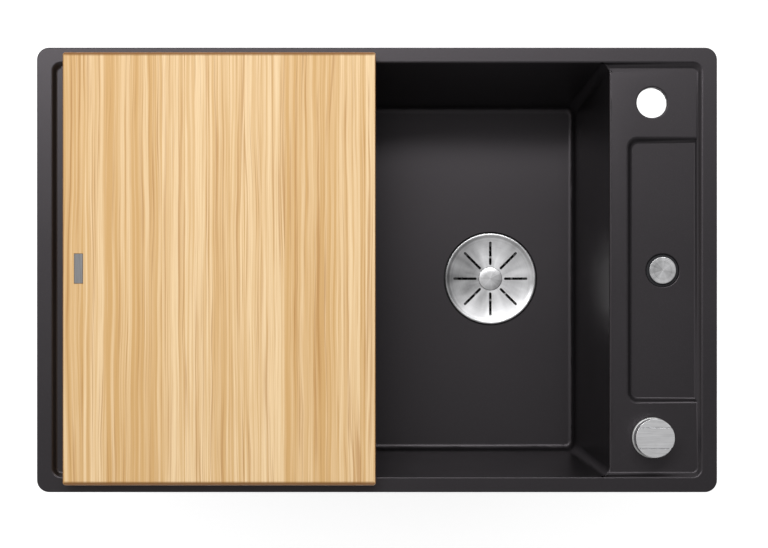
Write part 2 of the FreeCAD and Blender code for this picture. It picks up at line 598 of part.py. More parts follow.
def make_sink_body():
    body = new_body("sink_body")

    # rim slab and the plate that drops into the cut-out
    sketch = sketch_on(body, "XY_Plane", "rim_outline")
    draw_rounded(sketch, -HALF_LENGTH, HALF_LENGTH, -HALF_WIDTH, HALF_WIDTH, S["sink_corner"])
    pad(body, sketch, RIM_TOP, "rim_slab")
    sketch = sketch_on(body, "XY_Plane", "deck_outline", DECK_UNDER)
    draw_rounded(
        sketch, -DECK_HALF_LENGTH, DECK_HALF_LENGTH, -DECK_HALF_WIDTH, DECK_HALF_WIDTH, S["deck_corner"]
    )
    pad(body, sketch, -DECK_UNDER, "deck_plate")

    # thicker plate under the tray, and under the falling drainer field
    sketch = sketch_on(body, "XY_Plane", "tray_under_outline", TRAY_UNDER)
    tray_wall = TRAY_HALF_WIDTH + S["deck_thickness"]
    draw_polygon(sketch, [
        (TRAY_LEFT, -tray_wall), (DECK_HALF_LENGTH, -tray_wall),
        (DECK_HALF_LENGTH, tray_wall), (TRAY_LEFT, tray_wall),
    ])
    pad(body, sketch, DECK_UNDER - TRAY_UNDER, "tray_plate")
    field_high = LEDGE - S["drainer_start"]
    field_low = field_high - S["drainer_fall"]
    field_end = BOWL_LEFT + S["bowl_wall"]
    sketch = sketch_on(body, "XZ_Plane", "drainer_under_outline")
    draw_polygon(sketch, [
        (DRAINER_LEFT, DECK_UNDER), (field_end, field_low - S["deck_thickness"]),
        (field_end, DECK_UNDER),
    ])
    width = (DRAINER_HALF_WIDTH + S["bowl_wall"]) * 2
    across(pad(body, sketch, width, "drainer_plate"))

    # bowl shell
    side_rate = S["bowl_side_run"] / (S["bowl_depth"] - S["ledge_drop"])
    top_side = side_rate * S["ledge_drop"]
    upper = sketch_on(body, "XY_Plane", "bowl_outer_top")
    outer_lift = side_rate * LEDGE
    draw_rounded(
        upper, BOWL_LEFT - S["bowl_wall"] + outer_lift, BOWL_RIGHT + S["bowl_wall"] - outer_lift,
        -DECK_HALF_WIDTH, DECK_HALF_WIDTH, S["bowl_outer_corner"],
    )
    lower = sketch_on(body, "XY_Plane", "bowl_outer_bottom", FLOOR - S["bowl_wall"])
    floor_left = BOWL_LEFT + S["bowl_side_run"]
    floor_right = BOWL_RIGHT - S["bowl_side_run"]
    floor_half = OPENING_HALF_WIDTH - S["bowl_front_run"]
    draw_rounded(
        lower, floor_left - S["bowl_wall"], floor_right + S["bowl_wall"],
        -floor_half - S["bowl_wall"], floor_half + S["bowl_wall"], S["bowl_outer_corner"],
    )
    shell = loft(body, "Additive", [upper, lower], "bowl_outside")
    shell = round_edges(
        body, shell, S["floor_round"] + S["bowl_wall"] / 2, "bowl_outside_round",
        lambda edge: abs(edge.BoundBox.ZMax - (FLOOR - S["bowl_wall"]).value) < 0.01,
    )
    sketch = sketch_on(body, "XY_Plane", "drain_pad_outline", PAD_UNDER)
    draw_circle(sketch, DRAIN_X, 0, S["drain_pad"] / 2)
    pad(body, sketch, S["drain_pad_drop"] + S["bowl_wall"] / 2, "drain_pad")

    # bosses for the clamp inserts
    sketch = sketch_on(body, "XY_Plane", "boss_outline", -S["boss_bottom"])
    for name, x, y, angle in clamp_places():
        draw_circle(sketch, x, y, S["boss_radius"])
    pad(body, sketch, S["boss_bottom"] + DECK_UNDER + 1, "clamp_bosses")

    # recess inside the rim, down to the ledge
    upper = sketch_on(body, "XY_Plane", "opening_top", RIM_TOP)
    draw_rounded(
        upper, -OPENING_HALF_LENGTH, OPENING_HALF_LENGTH, -OPENING_HALF_WIDTH, OPENING_HALF_WIDTH,
        S["rim_inner_corner"],
    )
    lower = sketch_on(body, "XY_Plane", "opening_foot", LEDGE)
    foot_half_length = OPENING_HALF_LENGTH - S["rim_step_run"]
    foot_half_width = OPENING_HALF_WIDTH - S["rim_step_run"]
    draw_rounded(
        lower, -foot_half_length, foot_half_length, -foot_half_width, foot_half_width, S["ledge_corner"]
    )
    loft(body, "Subtractive", [upper, lower], "opening")

    # drainer field
    sketch = sketch_on(body, "XZ_Plane", "drainer_outline")
    draw_polygon(sketch, [
        (DRAINER_LEFT, RIM_TOP), (DRAINER_LEFT, field_high),
        (field_end, field_low), (field_end, RIM_TOP),
    ])
    across(pocket(body, sketch, DRAINER_HALF_WIDTH * 2, "drainer_field"))
    slope = S["drainer_fall"] / (field_end - DRAINER_LEFT)
    rib_left = DRAINER_LEFT + S["drainer_rib_gap"]
    rib_right = BOWL_LEFT - S["drainer_rib_gap"]
    left_level = field_high - slope * S["drainer_rib_gap"]
    right_level = field_high - slope * (rib_right - DRAINER_LEFT)
    sketch = sketch_on(body, "XZ_Plane", "drainer_rib_outline")
    first_rib = S["drainer_rib_pitch"] * (S["drainer_rib_count"] - 1) / 2
    bind(sketch, "AttachmentOffset.Base.z", first_rib)
    rise = S["drainer_rib_height"]
    draw_polygon(sketch, [
        (rib_left, left_level - rise), (rib_right, right_level - rise),
        (rib_right, right_level), (rib_right - rise * 2, right_level + rise),
        (rib_left + rise * 2, left_level + rise), (rib_left, left_level),
    ])
    rib = across(pad(body, sketch, S["drainer_rib_width"], "drainer_rib"))
    ribs = body.newObject("PartDesign::LinearPattern", "drainer_ribs")
    ribs.Originals = [rib]
    ribs.Direction = ([item for item in body.Origin.OriginFeatures if item.Role == "Y_Axis"][0], [""])
    bind(ribs, "Length", S["drainer_rib_pitch"] * (S["drainer_rib_count"] - 1))
    bind(ribs, "Occurrences", S["drainer_rib_count"])
    body.Tip = ribs

    # tray in the tap ledge, running into the rim's wall at its right
    upper = sketch_on(body, "XY_Plane", "tray_top", LEDGE)
    draw_tray(upper, TRAY_LEFT, foot_half_length, TRAY_HALF_WIDTH, S["tray_corner"])
    lower = sketch_on(body, "XY_Plane", "tray_foot", TRAY_FLOOR)
    draw_tray(
        lower, TRAY_LEFT + S["tray_run"], foot_half_length - S["tray_run"] / 3,
        TRAY_HALF_WIDTH - S["tray_run"], S["tray_corner"] - S["tray_run"] / 2,
    )
    loft(body, "Subtractive", [upper, lower], "tray")

    # bowl inside
    upper = sketch_on(body, "XY_Plane", "bowl_top", RIM_TOP)
    draw_rounded(
        upper, BOWL_LEFT - top_side, BOWL_RIGHT + top_side,
        -OPENING_HALF_WIDTH, OPENING_HALF_WIDTH, S["bowl_corner"],
    )
    lower = sketch_on(body, "XY_Plane", "bowl_floor", FLOOR)
    draw_rounded(lower, floor_left, floor_right, -floor_half, floor_half, S["bowl_corner"])
    loft(body, "Subtractive", [upper, lower], "bowl")

    # holes
    sketch = sketch_on(body, "XY_Plane", "recess_outline", FLOOR + 1)
    draw_circle(sketch, DRAIN_X, 0, S["drain_recess"] / 2)
    pocket(body, sketch, S["drain_recess_depth"] + 1, "drain_recess")
    sketch = sketch_on(body, "XY_Plane", "drain_hole_outline", FLOOR)
    draw_circle(sketch, DRAIN_X, 0, S["drain_hole"] / 2)
    pocket(body, sketch, FLOOR - PAD_UNDER + 1, "drain_hole")
    sketch = sketch_on(body, "XY_Plane", "ledge_holes_outline", RIM_TOP)
    draw_circle(sketch, LEDGE_AXIS, TAP_Y, S["tap_hole"] / 2)
    draw_circle(sketch, LEDGE_AXIS, CONTROL_Y, S["control_hole"] / 2)
    draw_circle(sketch, OVERFLOW_X, 0, S["overflow_bore"] / 2)
    pocket(body, sketch, RIM_TOP - TRAY_UNDER + 1, "ledge_holes")
    sketch = sketch_on(body, "XY_Plane", "overflow_mouth_outline", LEDGE)
    draw_circle(sketch, OVERFLOW_X, 0, S["overflow_mouth"] / 2)
    pocket(body, sketch, LEDGE - SHOULDER, "overflow_mouth")
    sketch = sketch_on(body, "XY_Plane", "insert_holes_outline", -S["boss_bottom"] - 1)
    for name, x, y, angle in clamp_places():
        draw_circle(sketch, x, y, S["insert_radius"])
    pocket(body, sketch, S["insert_length"] + 1, "insert_holes", upwards=True)

    # groove for the sealing strip
    sketch = sketch_on(body, "XY_Plane", "seal_groove_outline")
    draw_seal(sketch)
    last = pocket(body, sketch, S["seal_thickness"], "seal_groove", upwards=True)
    round_sink(body, last)
    return piece(body)


def draw_tray(sketch, left, right, half_width, radius):
    """The tray's outline: round corners at its left and square ones at its right."""
    left, right, half_width, radius = [sized(item) for item in (left, right, half_width, radius)]
    a, b, w, r = left.value, right.value, half_width.value, radius.value
    first = sketch.GeometryCount
    low = Part.Circle(Vector(a + r, r - w, 0), Vector(0, 0, 1), r)
    high = Part.Circle(Vector(a + r, w - r, 0), Vector(0, 0, 1), r)
    sketch.addGeometry(Part.LineSegment(Vector(a + r, -w, 0), Vector(b, -w, 0)))
    sketch.addGeometry(Part.LineSegment(Vector(b, -w, 0), Vector(b, w, 0)))
    sketch.addGeometry(Part.LineSegment(Vector(b, w, 0), Vector(a + r, w, 0)))
    sketch.addGeometry(Part.ArcOfCircle(high, math.pi / 2, math.pi))
    sketch.addGeometry(Part.LineSegment(Vector(a, w - r, 0), Vector(a, r - w, 0)))
    sketch.addGeometry(Part.ArcOfCircle(low, math.pi, 3 * math.pi / 2))
    for line, kind in ((0, "Horizontal"), (1, "Vertical"), (2, "Horizontal"), (4, "Vertical")):
        sketch.addConstraint(Sketcher.Constraint(kind, first + line))
    for one, two in ((0, 1), (1, 2)):
        sketch.addConstraint(Sketcher.Constraint("Coincident", first + one, 2, first + two, 1))
    for one, two in ((2, 3), (3, 4), (4, 5), (5, 0)):
        sketch.addConstraint(Sketcher.Constraint("Tangent", first + one, 2, first + two, 1))
    sketch.addConstraint(Sketcher.Constraint("Equal", first + 3, first + 5))
    fix(sketch, "DistanceY", first, 1, -half_width)
    fix(sketch, "DistanceX", first + 1, 1, right)
    fix(sketch, "DistanceY", first + 2, 1, half_width)
    fix(sketch, "DistanceX", first + 4, 1, left)
    corner = sketch.addConstraint(Sketcher.Constraint("Radius", first + 3, r))
    bind(sketch, "Constraints[%d]" % corner, radius)


def draw_seal(sketch):
    for inset in (S["seal_inset"], S["seal_inset"] + S["seal_width"]):
        draw_rounded(
            sketch, inset - HALF_LENGTH, HALF_LENGTH - inset, inset - HALF_WIDTH, HALF_WIDTH - inset,
            S["sink_corner"] - inset,
        )


def round_sink(body, last):
    """Rounds the edges that catch the light: the rim, the bowl and its floor."""
    top = RIM_TOP.value
    half = OPENING_HALF_WIDTH.value

    def rim_outside(edge):
        box = edge.BoundBox
        outside = max(abs(box.XMin), abs(box.XMax)) > HALF_LENGTH.value - S["sink_corner"].value - 0.01
        outside = outside and not (
            box.XMax < OPENING_HALF_LENGTH.value + 0.01 and box.XMin > -OPENING_HALF_LENGTH.value - 0.01
            and max(abs(box.YMin), abs(box.YMax)) < half + 0.01
        )
        return box.ZMin > top - 0.01 and outside

    last = round_edges(body, last, S["rim_round"], "rim_round", rim_outside)

    def bowl_foot(edge):
        box = edge.BoundBox
        flat = abs(box.ZMin - FLOOR.value) < 0.01 and abs(box.ZMax - FLOOR.value) < 0.01
        centre = Vector(DRAIN_X.value, 0, FLOOR.value)
        return flat and edge.Vertexes[0].Point.distanceToPoint(centre) > S["drain_recess"].value / 2 + 1

    last = round_edges(body, last, S["floor_round"], "floor_round", bowl_foot)

    def bowl_brow(edge):
        box = edge.BoundBox
        level = abs(box.ZMin - LEDGE.value) < 0.01 and abs(box.ZMax - LEDGE.value) < 0.01
        return level and abs(box.XMin - BOWL_RIGHT.value) < 0.01 and box.XLength < 0.01

    return round_edges(body, last, S["bowl_edge_round"], "bowl_brow_round", bowl_brow)


def make_rim_seal():
    body = new_body("rim_seal")
    sketch = sketch_on(body, "XY_Plane", "rim_seal_outline")
    draw_seal(sketch)
    pad(body, sketch, S["seal_thickness"], "rim_seal_strip")
    return piece(body)


# ---------------------------------------------------------------- board

def make_board():
    """The wood board lies on the rim and drops a tongue between the rim's front and back."""
    left = S["board_x"] - S["board_length"] / 2
    right = S["board_x"] + S["board_length"] / 2
    front = -S["board_width"] / 2
    back = S["board_width"] / 2
    top = RIM_TOP + S["board_thickness"]

    body = new_body("cutting_board")
    sketch = sketch_on(body, "XY_Plane", "board_outline", RIM_TOP)
    draw_polygon(sketch, [(left, front), (right, front), (right, back), (left, back)])
    slab = pad(body, sketch, S["board_thickness"], "board_slab")

    def long_top(edge):
        return edge.BoundBox.ZMin > top.value - 0.01 and edge.BoundBox.YLength < 0.01

    slab = round_edges(body, slab, S["board_round"], "board_round", long_top)

    def corner(edge):
        return edge.BoundBox.XLength < 0.01 and edge.BoundBox.YLength < 0.01

    round_edges(body, slab, S["board_corner"], "board_corner", corner)
    sketch = sketch_on(body, "XY_Plane", "tongue_outline", RIM_TOP - S["board_tongue"])
    inset = S["board_tongue_gap"]
    half = OPENING_HALF_WIDTH - inset
    draw_polygon(sketch, [
        (left + inset, -half), (right - inset, -half), (right - inset, half), (left + inset, half)
    ])
    pad(body, sketch, S["board_tongue"], "board_tongue")
    sketch = sketch_on(body, "XY_Plane", "plate_recess_outline", top)
    draw_plate(sketch, left)
    pocket(body, sketch, S["plate_thickness"], "plate_recess")
    piece(body)

    body = new_body("board_plate")
    sketch = sketch_on(body, "XY_Plane", "plate_outline", top - S["plate_thickness"])
    draw_plate(sketch, left)
    pad(body, sketch, S["plate_thickness"], "plate_slab")
    piece(body)


def draw_plate(sketch, board_left):
    left = board_left + S["plate_inset"]
    right = left + S["plate_width"]
    half = S["plate_length"] / 2
    draw_polygon(sketch, [(left, -half), (right, -half), (right, half), (left, half)])


# ---------------------------------------------------------------- strainer

def make_strainer():
    edge = S["disc_diameter"] / 2
    inner_edge = edge - S["disc_lip"]
    sheet = S["disc_sheet"]
    flat = S["basket_radius"] + 1
    stud = S["pin_radius"]

    disc = revolved("strainer_disc", [
        (stud, DISH_LOW), (flat, DISH_LOW), (inner_edge, DISH_TOP), (inner_edge + sheet, DISC_TOP),
        (edge - sheet / 2, DISC_TOP), (edge, DISC_TOP - sheet / 2), (edge, DISH_TOP - sheet),
        (inner_edge, DISH_TOP - sheet), (flat, DISH_LOW - sheet), (stud, DISH_LOW - sheet),
    ], DRAIN_X)
    sketch = sketch_on(disc, "XY_Plane", "slot_outline", DISC_TOP)
    half = S["slot_width"] / 2
    draw_rounded(sketch, S["slot_inner"], S["slot_outer"], -half, half, half * 0.95)
    slot = pocket(disc, sketch, DISC_TOP - DISH_LOW + sheet * 2, "disc_slot")
    pattern_round(disc, [slot], S["slot_count"], "disc_slots")
    piece(disc)

    dome = S["button_diameter"] / 2
    rim = S["button_rise"] / 2
    button = revolved("strainer_button", [
        (0, DISH_LOW - S["pin_engagement"]), (stud, DISH_LOW - S["pin_engagement"]), (stud, DISH_LOW),
        (dome, DISH_LOW), (dome, DISH_LOW + rim), (dome / 2, DISH_LOW + S["button_rise"]),
        (0, DISH_LOW + S["button_rise"]),
    ], DRAIN_X)
    turn = DOC.getObject("strainer_button_turn")
    round_edges(button, turn, rim * 0.8, "button_round", lambda e: (
        abs(e.BoundBox.ZMax - (DISH_LOW + rim).value) < 0.01 and e.BoundBox.XLength > dome.value
    ))
    piece(button)

    wall = S["basket_wall"]
    collar = S["collar_radius"]
    piece(ring("strainer_collar", collar - wall, collar + wall, BASKET_TOP - S["pin_engagement"],
               BASKET_TOP, DRAIN_X))

    outer = S["basket_radius"]
    stem = S["stem_radius"]
    basket = revolved("strainer_basket", [
        (stem, BASKET_BOTTOM), (outer, BASKET_BOTTOM), (outer, BASKET_TOP), (outer - wall, BASKET_TOP),
        (outer - wall, BASKET_BOTTOM + wall), (stem, BASKET_BOTTOM + wall),
    ], DRAIN_X)
    sketch = sketch_on(basket, "XY_Plane", "basket_hole_outline", BASKET_BOTTOM + wall)
    draw_circle(sketch, (S["valve_radius"] + outer) / 2, 0, S["basket_hole"])
    hole = pocket(basket, sketch, wall * 2, "basket_hole")
    pattern_round(basket, [hole], S["slot_count"] * 2, "basket_holes")
    sketch = sketch_on(basket, "YZ_Plane", "basket_slit_outline")
    half = S["basket_slit"] / 2
    draw_polygon(sketch, [
        (-half, BASKET_BOTTOM + wall * 4), (half, BASKET_BOTTOM + wall * 4),
        (half, BASKET_TOP - wall * 4), (-half, BASKET_TOP - wall * 4),
    ])
    slit = pocket(basket, sketch, outer + wall, "basket_slit", upwards=True)
    pattern_round(basket, [slit], S["slot_count"] * 2, "basket_slits")
    piece(basket)

    low = SEAT - wall
    socket = low + S["pin_engagement"]
    bore = stud + S["running_gap"]
    piece(revolved("strainer_stem", [
        (bore, low), (S["stem_foot"], low), (S["stem_foot"], BASKET_BOTTOM - S["valve_thickness"]),
        (stem, BASKET_BOTTOM - S["valve_thickness"]), (stem, BASKET_TOP), (stud, BASKET_TOP),
        (stud, DISH_LOW - S["pin_engagement"]), (0, DISH_LOW - S["pin_engagement"]), (0, socket),
        (bore, socket),
    ], DRAIN_X))
    piece(ring("valve_seal", stem, S["valve_radius"], BASKET_BOTTOM - S["valve_thickness"],
               BASKET_BOTTOM, DRAIN_X))
    return socket


# ---------------------------------------------------------------- waste

def screw_place(index):
    """One of the flange's screws, on its circle."""
    angle = sized(360) / S["flange_screw_count"] * index + S["flange_screw_turn"]
    radius = S["flange_screw_circle"]
    return DRAIN_X + radius * cosine(angle), radius * sine(angle)


def make_waste():
    sheet = S["flange_sheet"]
    throat = S["throat_radius"]
    edge = S["flange_diameter"] / 2
    screw = S["flange_screw_radius"]
    gap = S["running_gap"]

    flange = revolved("waste_flange", [
        (throat, FLANGE_TOP - S["throat_length"]), (throat + sheet, FLANGE_TOP - S["throat_length"]),
        (throat + sheet, FLANGE_TOP - sheet), (edge, FLANGE_TOP - sheet), (edge, FLANGE_TOP),
        (throat, FLANGE_TOP),
    ], DRAIN_X)
    sketch = sketch_on(flange, "XY_Plane", "flange_hole_outline", FLANGE_TOP)
    first_x, first_y = screw_place(0)
    draw_circle(sketch, first_x - DRAIN_X, first_y, screw + gap)
    hole = pocket(flange, sketch, sheet * 2, "flange_hole")
    pattern_round(flange, [hole], S["flange_screw_count"], "flange_holes")
    piece(flange)

    piece(ring("flange_gasket", S["drain_hole"] / 2 + gap, edge, RECESS_FLOOR,
               RECESS_FLOOR + S["gasket_thickness"], DRAIN_X))
    piece(ring("waste_gasket", S["drain_hole"] / 2 + 1, S["body_flange_radius"], BODY_TOP, PAD_UNDER,
               DRAIN_X))

    screws = []
    for index in range(int(S["flange_screw_count"].value)):
        x, y = screw_place(index)
        name = "flange_screw_%d" % index
        shank = cylinder(name + "_shank", screw, S["flange_screw_length"], x, y,
                         FLANGE_TOP - S["flange_screw_length"])
        head = cylinder(name + "_head", screw * 2, S["flange_screw_head"], x, y, FLANGE_TOP)
        screws.append(joined(name, [shank, head]))
    group("flange_screws", screws)
    make_waste_body()


def group(label, solids):
    """Like fasteners that share one node."""
    compound = DOC.addObject("Part::Compound", label)
    compound.Links = solids
    return piece(compound)


def make_waste_body():
    x = DRAIN_X
    wall = S["body_wall"]
    cup = S["cup_radius"]
    chamber = S["chamber_radius"]
    outlet = S["outlet_radius"]
    screw = S["flange_screw_radius"]
    gap = S["running_gap"]
    boss = S["pin_radius"] + wall * 2

    solid = [
        cylinder("body_flange", S["body_flange_radius"], S["body_flange_thickness"], x, 0,
                 BODY_TOP - S["body_flange_thickness"]),
        cylinder("body_cup", cup + wall, BODY_TOP - CHAMBER_TOP, x, 0, CHAMBER_TOP),
        cylinder("body_chamber", chamber + wall, SEAT - CHAMBER_BOTTOM, x, 0, CHAMBER_BOTTOM),
        cone("body_cone", outlet, chamber + wall, S["chamber_cone"], x, 0, THREAD_TOP),
        cylinder("body_outlet", outlet, THREAD_TOP - OUTLET_END, x, 0, OUTLET_END),
        cylinder("body_spigot", S["spigot_radius"], chamber + S["spigot_length"], x, 0, SPIGOT_LEVEL,
                 ALONG_X),
        cylinder("shaft_boss", boss, -BOSS_FRONT, SHAFT_X, BOSS_FRONT, SHAFT_LEVEL, ALONG_Y),
        box("stop_web", x, STOP_X + S["stop_thickness"], WIRE_Y - boss, -chamber + wall,
            CHAMBER_BOTTOM, CHAMBER_BOTTOM + wall),
        box("stop_plate", STOP_X, STOP_X + S["stop_thickness"], WIRE_Y - boss, WIRE_Y + boss,
            WIRE_LEVEL - boss, CHAMBER_BOTTOM + wall),
    ]
    hollow = [
        cylinder("cup_room", cup, BODY_TOP - SEAT + 1, x, 0, SEAT),
        cylinder("chamber_room", chamber, CHAMBER_TOP - CHAMBER_BOTTOM, x, 0, CHAMBER_BOTTOM),
        cylinder("seat_hole", S["seat_radius"], wall * 2, x, 0, SEAT - wall * 1.5),
        cone("cone_room", S["outlet_bore"], chamber, S["chamber_cone"], x, 0, THREAD_TOP),
        cylinder("outlet_room", S["outlet_bore"], THREAD_TOP - OUTLET_END + 2, x, 0, OUTLET_END - 1),
        cylinder("spigot_room", S["spigot_radius"] - S["spigot_wall"],
                 S["spigot_length"] + wall * 2, x + chamber - wall, 0, SPIGOT_LEVEL, ALONG_X),
        cylinder("shaft_room", S["pin_radius"] + gap, S["arm_offset"], SHAFT_X, -S["arm_offset"],
                 SHAFT_LEVEL, ALONG_Y),
        cylinder("seal_room", S["pin_radius"] + wall, wall * 2, SHAFT_X, BOSS_FRONT - wall,
                 SHAFT_LEVEL, ALONG_Y),
        cylinder("ferrule_room", S["sheath_radius"] + gap, S["stop_thickness"] + 2, STOP_X - 1, WIRE_Y,
                 WIRE_LEVEL, ALONG_X),
    ]
    for index in range(int(S["flange_screw_count"].value)):
        hole_x, hole_y = screw_place(index)
        tip = FLANGE_TOP - S["flange_screw_length"] - screw
        solid.append(cylinder("screw_boss_%d" % index, screw + wall, BODY_TOP - tip, hole_x, hole_y, tip))
        hollow.append(cylinder("screw_room_%d" % index, screw + gap, BODY_TOP - tip + 1, hole_x, hole_y,
                               tip + screw / 2))
    shell = cut("waste_shell", joined("waste_solid", solid), hollow)

    # guide for the lift pin, across the valve seat
    guide = [cylinder("guide_hub", S["pin_radius"] * 2, wall * 2, x, 0, CHAMBER_TOP - wall * 2)]
    for index in range(3):
        guide.append(spoke("guide_spoke_%d" % index, chamber + wall / 2, wall, x, CHAMBER_TOP - wall,
                           90 + 120 * index))
    body = joined("waste_guided", [shell] + guide)
    pin_room = cylinder("pin_room", S["pin_radius"] + gap, wall * 4, x, 0, CHAMBER_TOP - wall * 3)
    piece(cut("waste_body", body, [pin_room]))


# ---------------------------------------------------------------- lifting gear

def swung(obj):
    """Puts a lever piece, drawn about its shaft, at the shaft and turns it down by half the swing."""
    place(obj, SHAFT_X, 0, SHAFT_LEVEL, Rotation(Vector(0, 1, 0), HALF_SWING.value))
    bind(obj, "Placement.Rotation.Angle", HALF_SWING)
    return piece(obj)


def make_lifting_gear(socket):
    pin = S["pin_radius"]
    x = DRAIN_X
    gap = S["running_gap"]
    pin_low = NOSE_LEVEL + pin + S["rest_gap"]
    piece(revolved("lift_pin", [
        (0, pin_low), (pin, pin_low), (pin, socket - S["rest_gap"]), (0, socket - S["rest_gap"]),
    ], x))

    hub = pin + S["lever_wall"]
    half = hub - 1
    lever = joined("lever_solid", [
        cylinder("lever_hub", hub, hub * 2, 0, -hub, 0, ALONG_Y),
        box("lever_bar", 0, S["lever_length"], -half, half, -S["lever_wall"], S["lever_wall"]),
        cylinder("lever_nose", pin, half * 2, S["lever_length"], -half, 0, ALONG_Y),
    ])
    swung(cut("inner_lever", lever, [cylinder("lever_bore", pin, hub * 4, 0, -hub * 2, 0, ALONG_Y)]))

    thick = S["arm_thickness"]
    arm_front = -S["arm_offset"] - thick / 2
    screw = S["arm_screw_radius"]
    head = screw * 1.2
    shaft = cylinder("shaft_solid", pin, -arm_front + hub, 0, arm_front, 0, ALONG_Y)
    bore = cylinder("shaft_bore", screw, thick * 3, 0, arm_front - thick, 0, ALONG_Y)
    swung(cut("lever_shaft", shaft, [bore]))
    eye = S["nipple_radius"] + S["eye_gap"]
    arm = joined("arm_solid", [
        cylinder("arm_hub", hub + S["lever_wall"], thick, 0, arm_front, 0, ALONG_Y),
        box("arm_bar", -half, half, arm_front, arm_front + thick, -S["arm_length"], 0),
        cylinder("arm_eye", eye + S["lever_wall"], thick, 0, arm_front, -S["arm_length"], ALONG_Y),
    ])
    swung(cut("outer_arm", arm, [
        cylinder("arm_bore", pin, thick * 3, 0, arm_front - thick, 0, ALONG_Y),
        cylinder("arm_eye_hole", eye, thick * 3, 0, arm_front - thick, -S["arm_length"], ALONG_Y),
    ]))
    swung(joined("arm_screw", [
        cylinder("arm_screw_head", hub, head, 0, arm_front - head, 0, ALONG_Y),
        cylinder("arm_screw_shank", screw, thick * 2, 0, arm_front, 0, ALONG_Y),
    ]))

    wall = S["body_wall"]
    boss = pin + wall * 2
    piece(ring("shaft_seal", pin + gap, pin + wall - gap, 0, wall, SHAFT_X, BOSS_FRONT, SHAFT_LEVEL, ALONG_Y))
    piece(revolved("gland_nut", [
        (pin + gap * 2, -wall), (boss + wall, -wall), (boss + wall, wall * 2), (boss + gap, wall * 2),
        (boss + gap, 0), (pin + gap * 2, 0),
    ], SHAFT_X, BOSS_FRONT, SHAFT_LEVEL, ALONG_Y))


# ---------------------------------------------------------------- cable

CONTROL_END_X = LEDGE_AXIS + S["wire_offset"]
CONTROL_END_Y = CONTROL_Y + S["case_half"] + S["stop_thickness"]
WASTE_END_X = STOP_X + S["stop_thickness"] * 2


def make_ferrule(label, neck_length, x, y, z, rotation):
    """A sheath ferrule: its neck goes through the stop, its barrel takes the sheath."""
    neck = S["sheath_radius"]
    wire = S["wire_radius"] + S["rest_gap"]
    stop = S["stop_thickness"]
    piece(revolved(label, [
        (wire, -neck_length), (neck, -neck_length), (neck, 0), (S["ferrule_radius"], 0),
        (S["ferrule_radius"], S["ferrule_length"]), (neck + S["running_gap"], S["ferrule_length"]),
        (neck + S["running_gap"], stop), (wire, stop),
    ], x, y, z, rotation))


def cable_route():
    """The sheath's route, from the control round the bowl's corner to the stop at the waste."""
    start = (CONTROL_END_X.value, CONTROL_END_Y.value, CASE_WIRE_LEVEL.value)
    end = (WASTE_END_X.value, WIRE_Y.value, WIRE_LEVEL.value)
    by_hand = [
        (0, 42, 0), (-3, 78, -29), (-13, 97, -73), (-27, 105, -123), (-48, 109, -170)
    ]
    before_end = [(77, 0, 17), (39, 0, 0)]
    points = [Vector(*start)]
    points += [Vector(*start) + Vector(*step) for step in by_hand]
    points += [Vector(*end) + Vector(*step) for step in before_end]
    return points + [Vector(*end)]


def rounded_wire(points):
    """Straight runs joined by tangent arcs, and the arcs' radii."""
    share = 0.45
    edges = []
    radii = []
    here = points[0]
    for before, corner, after in zip(points, points[1:], points[2:]):
        come = (corner - before).normalize()
        go = (after - corner).normalize()
        setback = share * min((corner - before).Length, (after - corner).Length)
        half_turn = come.getAngle(go) / 2
        radii.append(setback / math.tan(half_turn))
        start = corner - come * setback
        end = corner + go * setback
        bulge = (go - come).normalize() * (radii[-1] / math.cos(half_turn) - radii[-1])
        edges.append(Part.LineSegment(here, start).toShape())
        edges.append(Part.Arc(start, corner + bulge, end).toShape())
        here = end
    edges.append(Part.LineSegment(here, points[-1]).toShape())
    return Part.Wire(edges), radii


def make_cable():
    make_ferrule("control_ferrule", S["case_wall"] + S["rest_gap"], CONTROL_END_X,
                 CONTROL_END_Y - S["stop_thickness"], CASE_WIRE_LEVEL, ALONG_Y)
    make_ferrule("waste_ferrule", S["stop_thickness"] + S["rest_gap"], WASTE_END_X - S["stop_thickness"],
                 WIRE_Y, WIRE_LEVEL, ALONG_X)

    points = cable_route()
    path, radii = rounded_wire(points)
    section = Part.Wire([Part.Circle(points[0], points[1] - points[0], S["sheath_radius"].value).toShape()])
    tube = path.makePipeShell([section], True, False)
    bore = S["wire_radius"].value + S["rest_gap"].value
    depth = WIRE_TRAVEL.value + S["stop_thickness"].value
    for end, inward in ((points[0], points[1] - points[0]), (points[-1], points[-2] - points[-1])):
        tube = tube.cut(Part.makeCylinder(bore, depth, end, inward))
    sheath = DOC.addObject("Part::Feature", "cable_sheath")
    sheath.Shape = tube
    piece(sheath)
    area = math.pi * S["sheath_radius"].value ** 2
    print("cable: length %.1f, least radius %.1f, volume share %.4f"
          % (path.Length, min(radii), tube.Volume / (area * path.Length)))

    # the ends of the wire, bare of the sheath, each with its nipple
    wire = S["wire_radius"]
    nipple = S["nipple_radius"]
    rest_x = SHAFT_X - WIRE_TRAVEL / 2
    barrel = S["arm_thickness"] + nipple * 2.5
    piece(joined("waste_wire_end", [
        cylinder("waste_wire", wire, WASTE_END_X + 2 - rest_x, rest_x, WIRE_Y, WIRE_LEVEL, ALONG_X),
        cylinder("waste_nipple", nipple, barrel, rest_x, WIRE_Y - nipple, WIRE_LEVEL, ALONG_Y),
    ]))
    start = SLIDER_Y + S["crank_pin"] + S["rest_gap"] * 2 + SLIDER_BAR + nipple * 1.2
    length = CONTROL_END_Y + WIRE_TRAVEL + 2 - start
    piece(joined("control_wire_end", [
        cylinder("control_wire", wire, length, CONTROL_END_X, start, CASE_WIRE_LEVEL, ALONG_Y),
        cylinder("control_nipple", nipple - S["rest_gap"] * 2, S["crank_pin"] * 2, CONTROL_END_X, start,
                 CASE_WIRE_LEVEL - S["crank_pin"]),
    ]))


# ---------------------------------------------------------------- turning control

